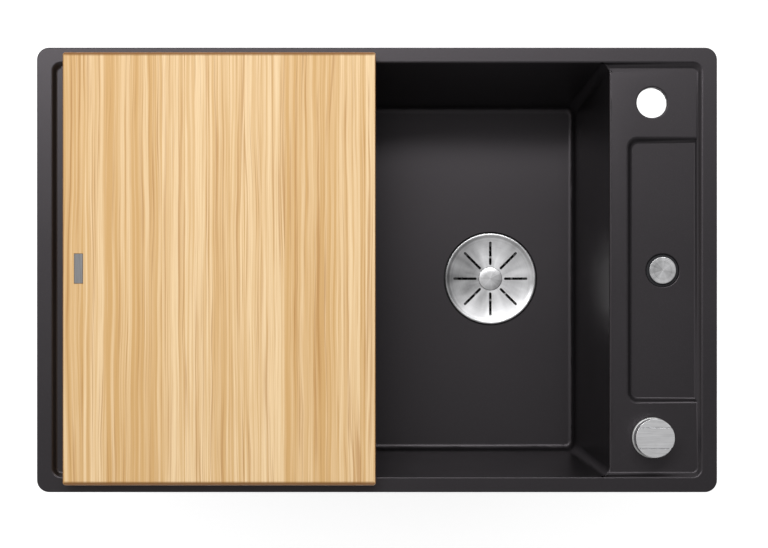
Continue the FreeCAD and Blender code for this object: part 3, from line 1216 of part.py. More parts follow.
ROSETTE_TOP = LEDGE + S["control_gasket"] + S["rosette_height"]
KNOB_LOW = ROSETTE_TOP + S["knob_gap"]
KNOB_TOP = LEDGE + S["knob_top"]
CRANK_Y = S["crank_radius"] * sine(sized(45))
SLIDER_Y = CONTROL_Y + CRANK_Y
SLIDER_BAR = S["case_wall"]
CRANK_TOP = CASE_TOP - S["case_wall"] - 1


def hex_nut(label, across, bore, low, high, x, y):
    """A hexagon nut or screw head; across is its width over the flats."""
    body = new_body(label)
    sketch = sketch_on(body, "XY_Plane", label + "_outline", low)
    corner = across / 2 / cosine(sized(30))
    draw_polygon(sketch, [
        (corner * cosine(sized(60 * side)), corner * sine(sized(60 * side))) for side in range(6)
    ])
    if bore:
        draw_circle(sketch, 0, 0, bore)
    pad(body, sketch, high - low, label + "_slab")
    place(body, x, y)
    return body


def make_control():
    x, y = LEDGE_AXIS, CONTROL_Y
    gap = S["running_gap"]
    spindle = S["spindle_radius"]
    bush = S["bush_radius"]
    fit = bush + gap
    knob = S["knob_diameter"] / 2
    wall = S["case_wall"]

    piece(ring("control_gasket", S["control_hole"] / 2, S["rosette_diameter"] / 2 - 1, LEDGE,
               LEDGE + S["control_gasket"], x, y))
    rosette = S["rosette_diameter"] / 2
    piece(revolved("control_rosette", [
        (fit, LEDGE + S["control_gasket"]), (rosette, LEDGE + S["control_gasket"]),
        (rosette, ROSETTE_TOP - 1), (rosette - 1, ROSETTE_TOP), (fit, ROSETTE_TOP),
    ], x, y))
    head = knob - wall
    head_top = ROSETTE_TOP + wall / 2
    piece(revolved("control_bush", [
        (spindle + gap, CASE_TOP), (bush, CASE_TOP), (bush, ROSETTE_TOP), (head, ROSETTE_TOP),
        (head, head_top), (spindle + gap, head_top),
    ], x, y))

    cavity_top = head_top + S["knob_gap"]
    bore_top = KNOB_TOP - wall * 2
    body = revolved("control_knob", [
        (head + gap * 8, KNOB_LOW), (knob, KNOB_LOW), (knob, KNOB_TOP), (0, KNOB_TOP), (0, bore_top),
        (spindle, bore_top), (spindle, cavity_top), (head + gap * 8, cavity_top),
    ], x, y)
    for side, name in ((1, "knob_back_step"), (-1, "knob_front_step")):
        sketch = sketch_on(body, "XY_Plane", name + "_outline", KNOB_TOP)
        near = S["knob_bar"] / 2 * side
        far = knob * side * 1.2
        draw_polygon(sketch, [(-knob, near), (knob, near), (knob, far), (-knob, far)])
        last = pocket(body, sketch, S["knob_step"], name)

    def knob_edge(edge):
        bounds = edge.BoundBox
        high = bounds.ZMin > (KNOB_TOP - S["knob_step"]).value - 0.01
        outer = max(Vector(v.X, v.Y, 0).Length for v in edge.Vertexes)
        return high and bounds.YLength > 0.5 and bounds.XLength > 0.5 and outer > knob.value * 0.9

    last = round_edges(body, last, S["knob_step"] / 2, "knob_round", knob_edge)
    screw = S["knob_screw_radius"]
    sketch = sketch_on(body, "XZ_Plane", "knob_screw_room_outline")
    screw_level = (KNOB_LOW + KNOB_TOP) / 2
    draw_circle(sketch, 0, screw_level, screw)
    pocket(body, sketch, knob + 1, "knob_screw_room")
    piece(body)
    piece(cylinder("knob_screw", screw, knob - spindle - 1, x, y + spindle, screw_level, ALONG_Y))
    piece(cylinder("control_spindle", spindle, bore_top - CRANK_TOP + S["crank_pin"] * 2, x, y,
                   CRANK_TOP - S["crank_pin"] * 2))

    nut_top = DECK_UNDER - S["washer_thickness"]
    piece(ring("control_washer", fit, bush + S["washer_width"], nut_top, DECK_UNDER, x, y))
    flats = (fit + S["nut_wall"]) * 2
    piece(hex_nut("control_nut", flats, fit, nut_top - S["nut_height"], nut_top, x, y))
    make_case(x, y, fit)
    make_crank(x, y)


def make_case(x, y, fit):
    half = S["case_half"]
    wall = S["case_wall"]
    room = half - wall
    screw = S["case_screw_radius"]
    post = room - screw - S["rest_gap"] * 2
    solid = [
        box("case_block", x - half, x + half, y - half, y + half, CASE_BOTTOM, CASE_TOP),
        cylinder("case_collar", fit + wall, wall * 3, x, y, CASE_TOP),
    ]
    hollow = [
        cylinder("case_neck_room", fit, wall * 3 + 1, x, y, CASE_TOP),
        cylinder("case_spindle_room", S["spindle_radius"] + 0.5, wall * 2, x, y, CASE_TOP - wall * 1.5),
        cylinder("case_cable_room", S["sheath_radius"] + S["running_gap"], wall * 2, CONTROL_END_X,
                 y + room - wall / 2, CASE_WIRE_LEVEL, ALONG_Y),
    ]
    block = cut("case_hollowed", joined("case_solid", solid), hollow + [
        box("case_room", x - room, x + room, y - room, y + room, CASE_BOTTOM - 1, CASE_TOP - wall)
    ])
    posts, screws, rooms, cover_rooms = [], [], [], []
    cover_low = CASE_BOTTOM - wall
    for index, (side_x, side_y) in enumerate(((1, 1), (1, -1), (-1, 1), (-1, -1))):
        px, py = x + post * side_x, y + post * side_y
        posts.append(cylinder("case_post_%d" % index, screw + S["case_post_wall"],
                              CASE_TOP - CASE_BOTTOM - 1, px, py, CASE_BOTTOM))
        rooms.append(cylinder("case_post_room_%d" % index, screw, wall * 4, px, py, CASE_BOTTOM - 1))
        cover_rooms.append(cylinder("cover_room_%d" % index, screw + S["running_gap"], wall * 3, px, py,
                                    cover_low - 1))
        shank = cylinder("case_screw_shank_%d" % index, screw, wall * 3, px, py, cover_low)
        cap = cylinder("case_screw_cap_%d" % index, screw * 2, wall / 2, px, py, cover_low - wall / 2)
        screws.append(joined("case_screw_%d" % index, [shank, cap]))
    piece(cut("control_case", joined("case_posted", [block] + posts), rooms))
    rail = S["crank_radius"] / 2
    rail_top = CASE_WIRE_LEVEL - S["crank_pin"] - S["rest_gap"]
    cover = joined("cover_solid", [
        box("cover_slab", x - half, x + half, y - half, y + half, cover_low, CASE_BOTTOM),
        box("cover_rail", CONTROL_END_X - rail, CONTROL_END_X + rail, y - room + 1, y + room - 1,
            cover_low, rail_top),
    ])
    piece(cut("case_cover", cover, cover_rooms))
    group("case_screws", screws)


def make_crank(x, y):
    """The crank under the spindle, and the slider that its pin drives along the cable's line."""
    pin = S["crank_pin"]
    side = S["crank_radius"] * cosine(sized(45))
    thick = pin * 2
    disc = joined("crank_solid", [
        cylinder("crank_plate", S["crank_disc"], thick, x, y, CRANK_TOP - thick),
        cylinder("crank_pin_post", pin, thick + pin * 3, x + side, SLIDER_Y, CRANK_TOP - thick - pin * 3),
    ])
    bore = cylinder("crank_bore", S["spindle_radius"], thick * 3, x, y, CRANK_TOP - thick * 2)
    piece(cut("crank_disc", disc, [bore]))

    slot = pin + S["rest_gap"] * 2
    bar = slot + SLIDER_BAR
    low, high = CASE_WIRE_LEVEL - pin, CASE_WIRE_LEVEL + pin
    slot_left, slot_right = x + side - slot, x + S["crank_radius"] + slot
    left, right = slot_left - S["slider_wall"], slot_right + S["slider_wall"]
    tail = S["nipple_radius"] * 2.4
    wire_x = CONTROL_END_X
    solid = joined("slider_solid", [
        box("slider_block", left, right, SLIDER_Y - bar, SLIDER_Y + bar, low, high),
        box("slider_tail", wire_x - tail / 2 - 1, wire_x + tail / 2 + 1, SLIDER_Y + bar,
            SLIDER_Y + bar + tail, low, high),
    ])
    nipple_y = SLIDER_Y + bar + tail / 2
    piece(cut("cable_slider", solid, [
        box("slider_slot", slot_left, slot_right, SLIDER_Y - slot, SLIDER_Y + slot, low - 1, high + 1),
        cylinder("slider_nipple_room", S["nipple_radius"] - S["rest_gap"] * 2, thick * 2, wire_x, nipple_y,
                 low - 1),
        box("slider_wire_room", wire_x - S["wire_radius"] - 0.2, wire_x + S["wire_radius"] + 0.2, nipple_y,
            nipple_y + tail, low - 1, high + 1),
    ]))


# ---------------------------------------------------------------- overflow

SLEEVE_LOW = SHOULDER - S["sleeve_length"]


def make_overflow():
    x = OVERFLOW_X
    stem = S["cap_stem"]
    gap = S["running_gap"]
    cap_top = TRAY_FLOOR + S["cap_above_tray"]
    cap_edge = cap_top - S["cap_crown"]
    cap_low = cap_top - S["cap_thickness"]
    cap = S["cap_diameter"] / 2
    sleeve = S["overflow_bore"] / 2 - S["rest_gap"]
    bore = sleeve - S["sleeve_wall"]
    hub_top = cap_low - S["cap_above_tray"] * 3
    hub_low = hub_top - stem * 2

    body = revolved("overflow_cap", [
        (0, hub_low - stem), (stem, hub_low - stem), (stem, hub_top + gap), (stem + 1, hub_top + gap),
        (stem + 1, cap_low), (cap, cap_low), (cap, cap_edge), (0, cap_top),
    ], x)
    turn = DOC.getObject("overflow_cap_turn")
    round_edges(body, turn, S["cap_round"], "overflow_cap_round", lambda e: (
        abs(e.BoundBox.ZMax - cap_edge.value) < 0.01 and e.BoundBox.XLength > cap.value
    ))
    piece(body)

    lip = S["overflow_mouth"] / 2 - S["rest_gap"]
    shell = ring("sleeve_shell", bore, sleeve, SLEEVE_LOW, SHOULDER, x)
    rim = ring("sleeve_rim", bore, lip, SHOULDER, SHOULDER + S["seal_thickness"], x)
    parts = [shell, rim, cylinder("sleeve_hub", stem * 1.8, hub_top - hub_low, x, 0, hub_low)]
    for index in range(3):
        wall = S["sleeve_wall"]
        parts.append(spoke("sleeve_spoke_%d" % index, bore + wall / 2, wall, x, hub_low, 120 * index))
    piece(cut("overflow_sleeve", joined("sleeve_solid", parts), [
        cylinder("sleeve_stem_room", stem + gap, stem * 4, x, 0, hub_low - stem)
    ]))

    seal_low = TRAY_UNDER - S["gasket_thickness"]
    fit = sleeve + gap
    piece(ring("overflow_seal", fit, sleeve + S["overflow_seal_width"], seal_low, TRAY_UNDER, x))
    nut_low = seal_low - S["overflow_nut_height"]
    piece(hex_nut("overflow_nut", (fit + S["nut_wall"]) * 2, fit, nut_low, seal_low, x, 0))

    collar_top = nut_low - 1
    barb = S["spigot_radius"]
    inside = barb - S["spigot_wall"]
    wall = S["sleeve_wall"]
    step = SLEEVE_LOW - gap
    foot = FUNNEL_FOOT
    piece(revolved("overflow_funnel", [
        (inside, foot - S["spigot_length"]), (barb, foot - S["spigot_length"]), (barb, foot),
        (fit + wall, step - wall), (fit + wall, collar_top), (fit, collar_top), (fit, step),
        (bore, step), (inside, foot),
    ], x))


FUNNEL_FOOT = SLEEVE_LOW - S["funnel_cone"]


def hose_route():
    """The overflow hose, from the funnel under the tray to the spigot on the waste body."""
    x, low = OVERFLOW_X.value, (FUNNEL_FOOT - S["hose_end_gap"]).value
    end_x = (DRAIN_X + S["chamber_radius"] + S["body_wall"] + S["hose_end_gap"]).value
    end_z = SPIGOT_LEVEL.value
    return [
        Vector(x, 0, low), Vector(x, 0, low - 64), Vector(x - 11, 0, low - 124),
        Vector(x - 41, 0, low - 168), Vector(end_x + 66, 0, end_z), Vector(end_x, 0, end_z),
    ]


def steady_circle(centre, direction, radius):
    """A circle whose own X axis stays along the sink's Y, so that a loft doesn't twist."""
    circle = Part.Circle()
    circle.Center = centre
    circle.Axis = direction
    circle.XAxis = Vector(0, 1, 0)
    circle.Radius = radius
    return Part.Wire([circle.toShape()])


def make_hose():
    path, radii = rounded_wire(hose_route())
    crest, valley = S["hose_crest"].value, S["hose_valley"].value
    bore = S["hose_bore"].value / 2 + S["running_gap"].value
    ribs = int(S["hose_rib_count"].value)
    plain = S["spigot_length"].value
    total = path.Length
    pitch = (total - 2 * plain) / ribs
    stations = [(0, valley), (plain, valley)]
    for rib in range(ribs):
        start = plain + rib * pitch
        stations += [
            (start + pitch * 0.15, valley), (start + pitch * 0.35, crest),
            (start + pitch * 0.65, crest), (start + pitch * 0.85, valley),
        ]
    stations += [(total - plain, valley), (total, valley)]

    def at(distance):
        for edge in path.OrderedEdges:
            if distance <= edge.Length + 1e-6:
                break
            distance -= edge.Length
        spot = edge.getParameterByLength(min(distance, edge.Length))
        return edge.valueAt(spot), edge.tangentAt(spot)

    outer = [steady_circle(*at(distance), radius) for distance, radius in stations]
    inner = [steady_circle(*at(distance), bore) for distance, radius in stations]
    solid = Part.makeLoft(outer, True, True).cut(Part.makeLoft(inner, True, True))
    hose = DOC.addObject("Part::Feature", "overflow_hose")
    hose.Shape = solid
    piece(hose)
    print("hose: length %.1f, least radius %.1f, rib pitch %.2f, volume %.0f"
          % (total, min(radii), pitch, solid.Volume))

    width = S["spigot_length"] / 2
    inner_radius = S["hose_valley"] + S["running_gap"]
    outer_radius = inner_radius + S["sleeve_wall"]
    top = FUNNEL_FOOT - S["hose_clamp_inset"]
    top_clamp = ring("hose_clamp_top", inner_radius, outer_radius, top - width, top, OVERFLOW_X)
    start = DRAIN_X + S["chamber_radius"] + S["body_wall"] + S["hose_clamp_inset"]
    low_clamp = ring("hose_clamp_low", inner_radius, outer_radius, 0, width, start, 0, SPIGOT_LEVEL, ALONG_X)
    group("hose_clamps", [top_clamp, low_clamp])


# ---------------------------------------------------------------- clamps

def make_clamps():
    inserts, screws = [], []
    under = -S["boss_bottom"]
    shank = S["clamp_screw_radius"]
    head_top = under - S["clamp_screw_length"]
    head = S["clamp_head_radius"]
    hub = S["claw_width"] / 2
    sheet = S["claw_sheet"]
    for name, x, y, angle in clamp_places():
        insert = cylinder("insert_solid_" + name, S["insert_radius"], S["insert_length"], x, y, under)
        room = cylinder("insert_room_" + name, shank + S["running_gap"], S["insert_length"] * 2, x, y,
                        under - 1)
        inserts.append(cut("insert_" + name, insert, [room]))
        rod = cylinder("clamp_rod_" + name, shank, S["clamp_screw_length"] + S["insert_length"] * 0.8, x, y,
                       head_top)
        nut = hex_nut("clamp_head_" + name, head * 2, None, head_top - sheet, head_top, x, y)
        screws.append(joined("clamp_screw_" + name, [rod, nut]))

        reach = S["claw_reach"]
        claw = joined("claw_solid_" + name, [
            cylinder("claw_hub_" + name, hub, S["claw_rise"], 0, 0, 0),
            box("claw_bar_" + name, 0, reach, -hub, hub, 0, sheet),
            box("claw_tip_" + name, reach - sheet, reach, -hub, hub, 0, sheet + S["claw_rise"]),
        ])
        bore = cylinder("claw_bore_" + name, shank + S["running_gap"], S["claw_rise"] * 3, 0, 0,
                        -S["claw_rise"])
        claw = cut("claw_" + name, claw, [bore])
        place(claw, x, y, head_top + S["rest_gap"], Rotation(Vector(0, 0, 1), angle))
        piece(claw)
    group("clamp_inserts", inserts)
    group("clamp_screws", screws)


# ---------------------------------------------------------------- export

def check_and_write():
    DOC.recompute()
    for obj in DOC.Objects:
        if "Invalid" in obj.State or "Error" in obj.State:
            raise RuntimeError("%s did not build: %s" % (obj.Label, obj.State))
    for obj in PIECES:
        if obj.Shape.isNull() or not obj.Shape.isValid() or not obj.Shape.Solids:
            raise RuntimeError("%s has no valid solid" % obj.Label)
    os.makedirs("parts", exist_ok=True)
    for obj in PIECES:
        obj.Shape.exportStep("parts/%s.step" % obj.Label)
        print(obj.Label, len(obj.Shape.Solids), "solid(s), volume", round(obj.Shape.Volume))


make_sink_body()
make_rim_seal()
make_board()
stem_socket = make_strainer()
make_waste()
make_lifting_gear(stem_socket)
make_cable()
make_control()
make_overflow()
make_hose()
make_clamps()
check_and_write()
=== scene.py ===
import json
import math
import random

import bmesh
import bpy
from bpy.props import FloatProperty, FloatVectorProperty, IntProperty, PointerProperty
from mathutils import Matrix, Vector


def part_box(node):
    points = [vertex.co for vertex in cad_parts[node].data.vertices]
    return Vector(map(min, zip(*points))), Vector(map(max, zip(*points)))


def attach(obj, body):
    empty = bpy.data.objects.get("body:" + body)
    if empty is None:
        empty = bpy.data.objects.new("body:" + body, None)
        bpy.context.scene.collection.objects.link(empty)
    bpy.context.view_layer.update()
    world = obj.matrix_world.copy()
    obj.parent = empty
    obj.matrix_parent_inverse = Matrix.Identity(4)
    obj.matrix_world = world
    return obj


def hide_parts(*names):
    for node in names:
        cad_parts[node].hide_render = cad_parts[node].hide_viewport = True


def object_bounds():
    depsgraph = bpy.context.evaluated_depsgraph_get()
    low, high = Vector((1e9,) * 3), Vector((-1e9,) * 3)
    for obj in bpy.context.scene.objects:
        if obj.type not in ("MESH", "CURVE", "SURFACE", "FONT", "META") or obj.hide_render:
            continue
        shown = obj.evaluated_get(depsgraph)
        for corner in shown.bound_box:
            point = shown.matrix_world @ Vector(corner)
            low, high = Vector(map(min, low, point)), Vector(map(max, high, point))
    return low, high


bl_info = {
    "name": "Workstation Kitchen Sink",
    "version": (1, 0, 0),
    "blender": (4, 5, 0),
    "location": "View3D > Sidebar > Sink",
    "description": "Dresses the packed model of a stone composite sink with a sliding wood board",
    "category": "Object",
}

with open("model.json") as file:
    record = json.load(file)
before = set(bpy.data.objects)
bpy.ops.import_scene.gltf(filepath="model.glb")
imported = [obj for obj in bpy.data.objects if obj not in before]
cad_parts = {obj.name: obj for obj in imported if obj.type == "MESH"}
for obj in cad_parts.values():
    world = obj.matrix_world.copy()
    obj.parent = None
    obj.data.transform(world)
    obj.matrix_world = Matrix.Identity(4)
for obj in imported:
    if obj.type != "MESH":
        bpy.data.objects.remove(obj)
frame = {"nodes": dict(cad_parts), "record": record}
NODES = frame["nodes"]
CAD_BOX = [list(corner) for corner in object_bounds()]
SLOT_OF = {part["node"]: part["material_slot"] for part in frame["record"]["subparts"]}
BODY_OF = {node: body for body, nodes in frame["record"]["behaviour"]["bodies"].items() for node in nodes}
MM = 0.001


def sheet_middle(node):
    """Middle of a CAD node's box."""
    low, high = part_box(node)
    return (low + high) / 2


# ------------------------------------------------------------------ what a user would change

class StageSettings(bpy.types.PropertyGroup):
    camera_height: FloatProperty(
        name="Camera Height", description="Camera above the worktop", default=2.3075, unit="LENGTH")
    camera_forward: FloatProperty(
        name="Camera Forward", description="Camera in front of the sink's middle", default=0.132,
        unit="LENGTH")
    focal_length: FloatProperty(
        name="Focal Length", description="Lens of the camera", default=94.06, unit="CAMERA")
    shift_right: FloatProperty(
        name="Shift Right", description="Horizontal shift of the picture", default=0.0091)
    shift_up: FloatProperty(
        name="Shift Up", description="Vertical shift of the picture", default=0.1445)
    back_power: FloatProperty(
        name="Back Power", description="Wide lamp above the back", default=24.0, unit="POWER")
    left_power: FloatProperty(
        name="Left Power", description="Smaller lamp above the left", default=2.0, unit="POWER")
    fill_strength: FloatProperty(
        name="Fill", description="Light from all round", default=0.53, min=0.0)
    overhead: FloatProperty(
        name="Overhead", description="How bright mirrors see the space straight above, 1 being white",
        default=0.42, min=0.0)
    far_side: FloatProperty(
        name="Far Side", description="How bright mirrors see the right and front, as a share of the rest",
        default=0.6, min=0.0)
    floor_lift: FloatProperty(
        name="Floor Lift", description="How much whiter the floor looks than it is lit", default=0.66)
    floor_colour: FloatVectorProperty(
        name="Floor", description="Colour of the floor", subtype="COLOR", default=(0.82, 0.82, 0.82))


class BowlSettings(bpy.types.PropertyGroup):
    stone: FloatVectorProperty(
        name="Stone", description="Body colour of the cast composite", subtype="COLOR",
        default=(0.0048, 0.0043, 0.0049))
    fleck: FloatVectorProperty(
        name="Fleck", description="Lighter quartz grains in the composite", subtype="COLOR",
        default=(0.034, 0.031, 0.034))
    edge: FloatProperty(
        name="Edge", description="Rounding of the cast edges that show", default=1.6 * MM, unit="LENGTH")
    hidden_edge: FloatProperty(
        name="Hidden Edge", description="Rounding of the edges below", default=0.8 * MM, unit="LENGTH")


class BoardSettings(bpy.types.PropertyGroup):
    pale: FloatVectorProperty(
        name="Pale", description="Palest staves", subtype="COLOR", default=(0.99, 0.735, 0.43))
    tan: FloatVectorProperty(
        name="Tan", description="Darkest staves", subtype="COLOR", default=(0.73, 0.44, 0.17))
    line: FloatVectorProperty(
        name="Grain Line", description="Dark grain lines", subtype="COLOR", default=(0.46, 0.20, 0.045))
    long_round: FloatProperty(
        name="Front and Back Rounding", description="Rounding of the long top edges",
        default=4.5 * MM, unit="LENGTH")
    corner: FloatProperty(
        name="Corner", description="Corner radius", default=3 * MM, unit="LENGTH")
    tongue_depth: FloatProperty(
        name="Tongue", description="Tongue under the board", default=3.5 * MM, unit="LENGTH")
    tongue_end: FloatProperty(
        name="Tongue End", description="Tongue in from the board's ends", default=4 * MM, unit="LENGTH")
    tongue_side: FloatProperty(
        name="Tongue Side", description="Tongue in from the board's front and back",
        default=12.5 * MM, unit="LENGTH")


class StrainerSettings(bpy.types.PropertyGroup):
    lip_rise: FloatProperty(
        name="Lip Rise", description="Rise of the disc's lip over its dish", default=1 * MM, unit="LENGTH")
    dish_depth: FloatProperty(
        name="Dish Depth", description="Fall of the dish to its middle", default=1.4 * MM, unit="LENGTH")
    sheet: FloatProperty(
        name="Sheet", description="Thickness of the disc's sheet", default=0.9 * MM, unit="LENGTH")
    slot_count: IntProperty(name="Slots", description="Slots in the disc", default=8, min=2)
    slot_inner: FloatProperty(
        name="Slot Start", description="Slots from the middle", default=17 * MM, unit="LENGTH")
    slot_outer: FloatProperty(
        name="Slot End", description="Far ends of the slots from the middle", default=46 * MM,
        unit="LENGTH")
    slot_width: FloatProperty(
        name="Slot Width", description="Width of a slot", default=3.1 * MM, unit="LENGTH")


class KnobSettings(bpy.types.PropertyGroup):
    bar: FloatProperty(
        name="Bar", description="Width of the raised bar across the knob", default=22 * MM, unit="LENGTH")
    groove: FloatProperty(
        name="Groove", description="Width of the grooves beside the bar", default=1.4 * MM, unit="LENGTH")
    groove_depth: FloatProperty(
        name="Groove Depth", description="Grooves below the bar's top", default=3.4 * MM, unit="LENGTH")


class MetalSettings(bpy.types.PropertyGroup):
    steel: FloatVectorProperty(
        name="Steel", description="Stainless steel", subtype="COLOR", default=(0.60, 0.60, 0.61))
    zinc: FloatVectorProperty(
        name="Zinc", description="Zinc plated steel", subtype="COLOR", default=(0.50, 0.52, 0.55))
    brass: FloatVectorProperty(
        name="Brass", description="Machined brass", subtype="COLOR", default=(0.72, 0.50, 0.22))


class PlasticSettings(bpy.types.PropertyGroup):
    black: FloatVectorProperty(
        name="Black Plastic", description="Waste body, control case and fittings", subtype="COLOR",
        default=(0.022, 0.022, 0.024))
    grey: FloatVectorProperty(
        name="Grey Plastic", description="Hose, nuts and the gear inside", subtype="COLOR",
        default=(0.36, 0.37, 0.38))
    rubber: FloatVectorProperty(
        name="Rubber", description="Seals and gaskets", subtype="COLOR",
        default=(0.018, 0.018, 0.018))
    hose_ribs: IntProperty(
        name="Hose Ribs", description="Ribs of the overflow hose", default=40, min=4)
    hose_bore: FloatProperty(
        name="Hose Bore", description="Bore radius of the overflow hose", default=10.05 * MM,
        unit="LENGTH")
    hose_valley: FloatProperty(
        name="Hose Valley", description="Radius between the ribs", default=11.3 * MM, unit="LENGTH")
    hose_crest: FloatProperty(
        name="Hose Crest", description="Radius over the ribs", default=13 * MM, unit="LENGTH")
    hose_cuff: FloatProperty(
        name="Hose Cuff", description="Plain end of the hose", default=22 * MM, unit="LENGTH")
    sheath: FloatProperty(
        name="Sheath", description="Radius of the cable sheath", default=3 * MM, unit="LENGTH")


# ------------------------------------------------------------------ finishes

class Graph:
    """Short calls for the nodes that the finishes are made of."""

    def __init__(self, tree):
        self.tree = tree

    def add(self, kind, inputs=None, **settings):
        made = self.tree.nodes.new(kind)
        for name, value in settings.items():
            setattr(made, name, value)
        for name, value in (inputs or {}).items():
            self.put(made.inputs[name], value)
        return made

    def put(self, socket, value):
        if isinstance(value, bpy.types.NodeSocket):
            self.tree.links.new(value, socket)
        elif hasattr(socket.default_value, "__len__") and len(socket.default_value) == 4 and len(value) == 3:
            socket.default_value = (*value, 1.0)
        else:
            socket.default_value = value

    def math(self, operation, first, second=0.0):
        return self.add("ShaderNodeMath", {0: first, 1: second}, operation=operation).outputs[0]

    def vector(self, operation, first, second=(0.0, 0.0, 0.0)):
        return self.add("ShaderNodeVectorMath", {0: first, 1: second}, operation=operation).outputs[0]

    def parts(self, vector):
        return self.add("ShaderNodeSeparateXYZ", {0: vector}).outputs

    def whole(self, x, y, z=0.0):
        return self.add("ShaderNodeCombineXYZ", {0: x, 1: y, 2: z}).outputs[0]

    def radius(self, x, y):
        """Distance from an upright axis."""
        return self.math("SQRT", self.math("ADD", self.math("MULTIPLY", x, x), self.math("MULTIPLY", y, y)))

    def noise(self, vector, scale, detail=2.0, roughness=0.5):
        inputs = {"Vector": vector, "Scale": scale, "Detail": detail, "Roughness": roughness}
        return self.add("ShaderNodeTexNoise", inputs).outputs["Fac"]

    def stretch(self, value, low, high, to_low=0.0, to_high=1.0):
        inputs = {0: value, 1: low, 2: high, 3: to_low, 4: to_high}
        return self.add("ShaderNodeMapRange", inputs, clamp=True).outputs[0]

    def mix(self, share, first, second, blend="MIX"):
        made = self.add("ShaderNodeMix", data_type="RGBA", blend_type=blend)
        self.put(made.inputs[0], share)
        self.put(made.inputs[6], first)
        self.put(made.inputs[7], second)
        return made.outputs[2]

    def bump(self, height, distance, strength=1.0):
        inputs = {"Height": height, "Distance": distance, "Strength": strength}
        return self.add("ShaderNodeBump", inputs).outputs[0]


def effect(name, inputs, outputs, draw):
    """A shader node group, built once: draw gets its graph and inputs and gives back its outputs."""
    if name in bpy.data.node_groups:
        return bpy.data.node_groups[name]
    tree = bpy.data.node_groups.new(name, "ShaderNodeTree")
    kinds = {"vector": "NodeSocketVector", "value": "NodeSocketFloat", "colour": "NodeSocketColor"}
    for label, kind, default in inputs:
        socket = tree.interface.new_socket(label, in_out="INPUT", socket_type=kinds[kind])
        socket.default_value = (*default, 1.0) if kind == "colour" else default
    for label, kind in outputs:
        tree.interface.new_socket(label, in_out="OUTPUT", socket_type=kinds[kind])
    graph = Graph(tree)
    source = graph.add("NodeGroupInput")
    sink = graph.add("NodeGroupOutput")
    results = draw(graph, *[source.outputs[label] for label, kind, default in inputs])
    for (label, kind), result in zip(outputs, results):
        graph.put(sink.inputs[label], result)
    return tree


def placed(graph, tree, **inputs):
    """A group node with its values; an underscore stands for a space."""
    made = graph.add("ShaderNodeGroup", node_tree=tree)
    for label, value in inputs.items():
        graph.put(made.inputs[label.replace("_", " ")], value)
    return made.outputs


def cast_grain():
    """Quartz grains in a cast composite: colour share, roughness and a fine relief."""
    def draw(graph, place, size):
        fine = graph.noise(place, graph.math("DIVIDE", 1.0, size), 3.0, 0.6)
        cloud = graph.noise(place, 9.0, 3.0)
        cells = graph.add("ShaderNodeTexVoronoi", {
            "Vector": place, "Scale": graph.math("DIVIDE", 0.8, size)})
        near = graph.math("LESS_THAN", cells.outputs["Distance"], 0.28)
        few = graph.math("GREATER_THAN", graph.parts(cells.outputs["Color"])[0], 0.72)
        fleck = graph.math("MULTIPLY", near, few)
        grain = graph.stretch(fine, 0.3, 0.7)
        share = graph.math("ADD", graph.math("MULTIPLY", grain, 0.22), graph.math("MULTIPLY", fleck, 0.55))
        roughness = graph.math(
            "ADD", graph.math("MULTIPLY", cloud, 0.10), graph.math("MULTIPLY", grain, 0.06))
        return share, roughness, fine
    return effect(
        "Cast Grain", [("Place", "vector", (0, 0, 0)), ("Grain Size", "value", 0.7 * MM)],
        [("Share", "value"), ("Roughness", "value"), ("Height", "value")], draw)


def turned_lines():
    """Concentric tool lines round an upright axis."""
    def draw(graph, place, centre, spacing, seed):
        x, y, z = graph.parts(graph.vector("SUBTRACT", place, centre))
        radius = graph.radius(x, y)
        lines = graph.whole(graph.math("DIVIDE", radius, spacing), graph.math("DIVIDE", z, spacing), seed)
        return (graph.noise(lines, 1.0, 2.0, 0.6),)
    return effect(
        "Turned Lines",
        [("Place", "vector", (0, 0, 0)), ("Centre", "vector", (0, 0, 0)),
         ("Spacing", "value", 0.25 * MM), ("Seed", "value", 0.0)],
        [("Height", "value")], draw)


def painted_spun_sheen():
    """Painted reflection on metal spun round an upright axis: bright fans painted in front and behind, and a
    painted brighter right side.
    """
    def draw(graph, place, centre, turn):
        x, y, z = graph.parts(graph.vector("SUBTRACT", place, centre))
        radius = graph.radius(x, y)
        angle = graph.math("ADD", graph.math("ARCTAN2", y, x), graph.math("MULTIPLY", turn, math.tau))
        # painted highlight: two bright fans, front and back, and a brighter right side, with a random
        # unevenness
        fans = graph.math("COSINE", graph.math("MULTIPLY", graph.math("SUBTRACT", angle, math.pi / 2), 2.0))
        side = graph.math("COSINE", angle)
        round_axis = graph.whole(graph.math("COSINE", angle), graph.math("SINE", angle),
                                 graph.math("MULTIPLY", radius, 12.0))
        uneven = graph.math("SUBTRACT", graph.noise(round_axis, 2.2, 2.0), 0.5)
        share = graph.math("ADD", graph.math("MULTIPLY", fans, 0.24), graph.math("MULTIPLY", side, 0.18))
        share = graph.math("ADD", share, graph.math("MULTIPLY", uneven, 1.3))
        return (graph.stretch(share, -0.56, 0.44),)
    return effect(
        "Spun Sheen",
        [("Place", "vector", (0, 0, 0)), ("Centre", "vector", (0, 0, 0)), ("Turn", "value", 0.0)],
        [("Share", "value")], draw)


def brushed_lines():
    """Straight brush marks along the direction in which the place is stretched."""
    def draw(graph, place, stretch):
        drawn = graph.vector("MULTIPLY", place, stretch)
        height = graph.noise(drawn, 1.0, 3.0, 0.7)
        return height, graph.stretch(graph.noise(drawn, 0.13, 2.0), 0.3, 0.7)
    return effect(
        "Brushed Lines", [("Place", "vector", (0, 0, 0)), ("Stretch", "vector", (100, 4000, 4000))],
        [("Height", "value"), ("Cloud", "value")], draw)


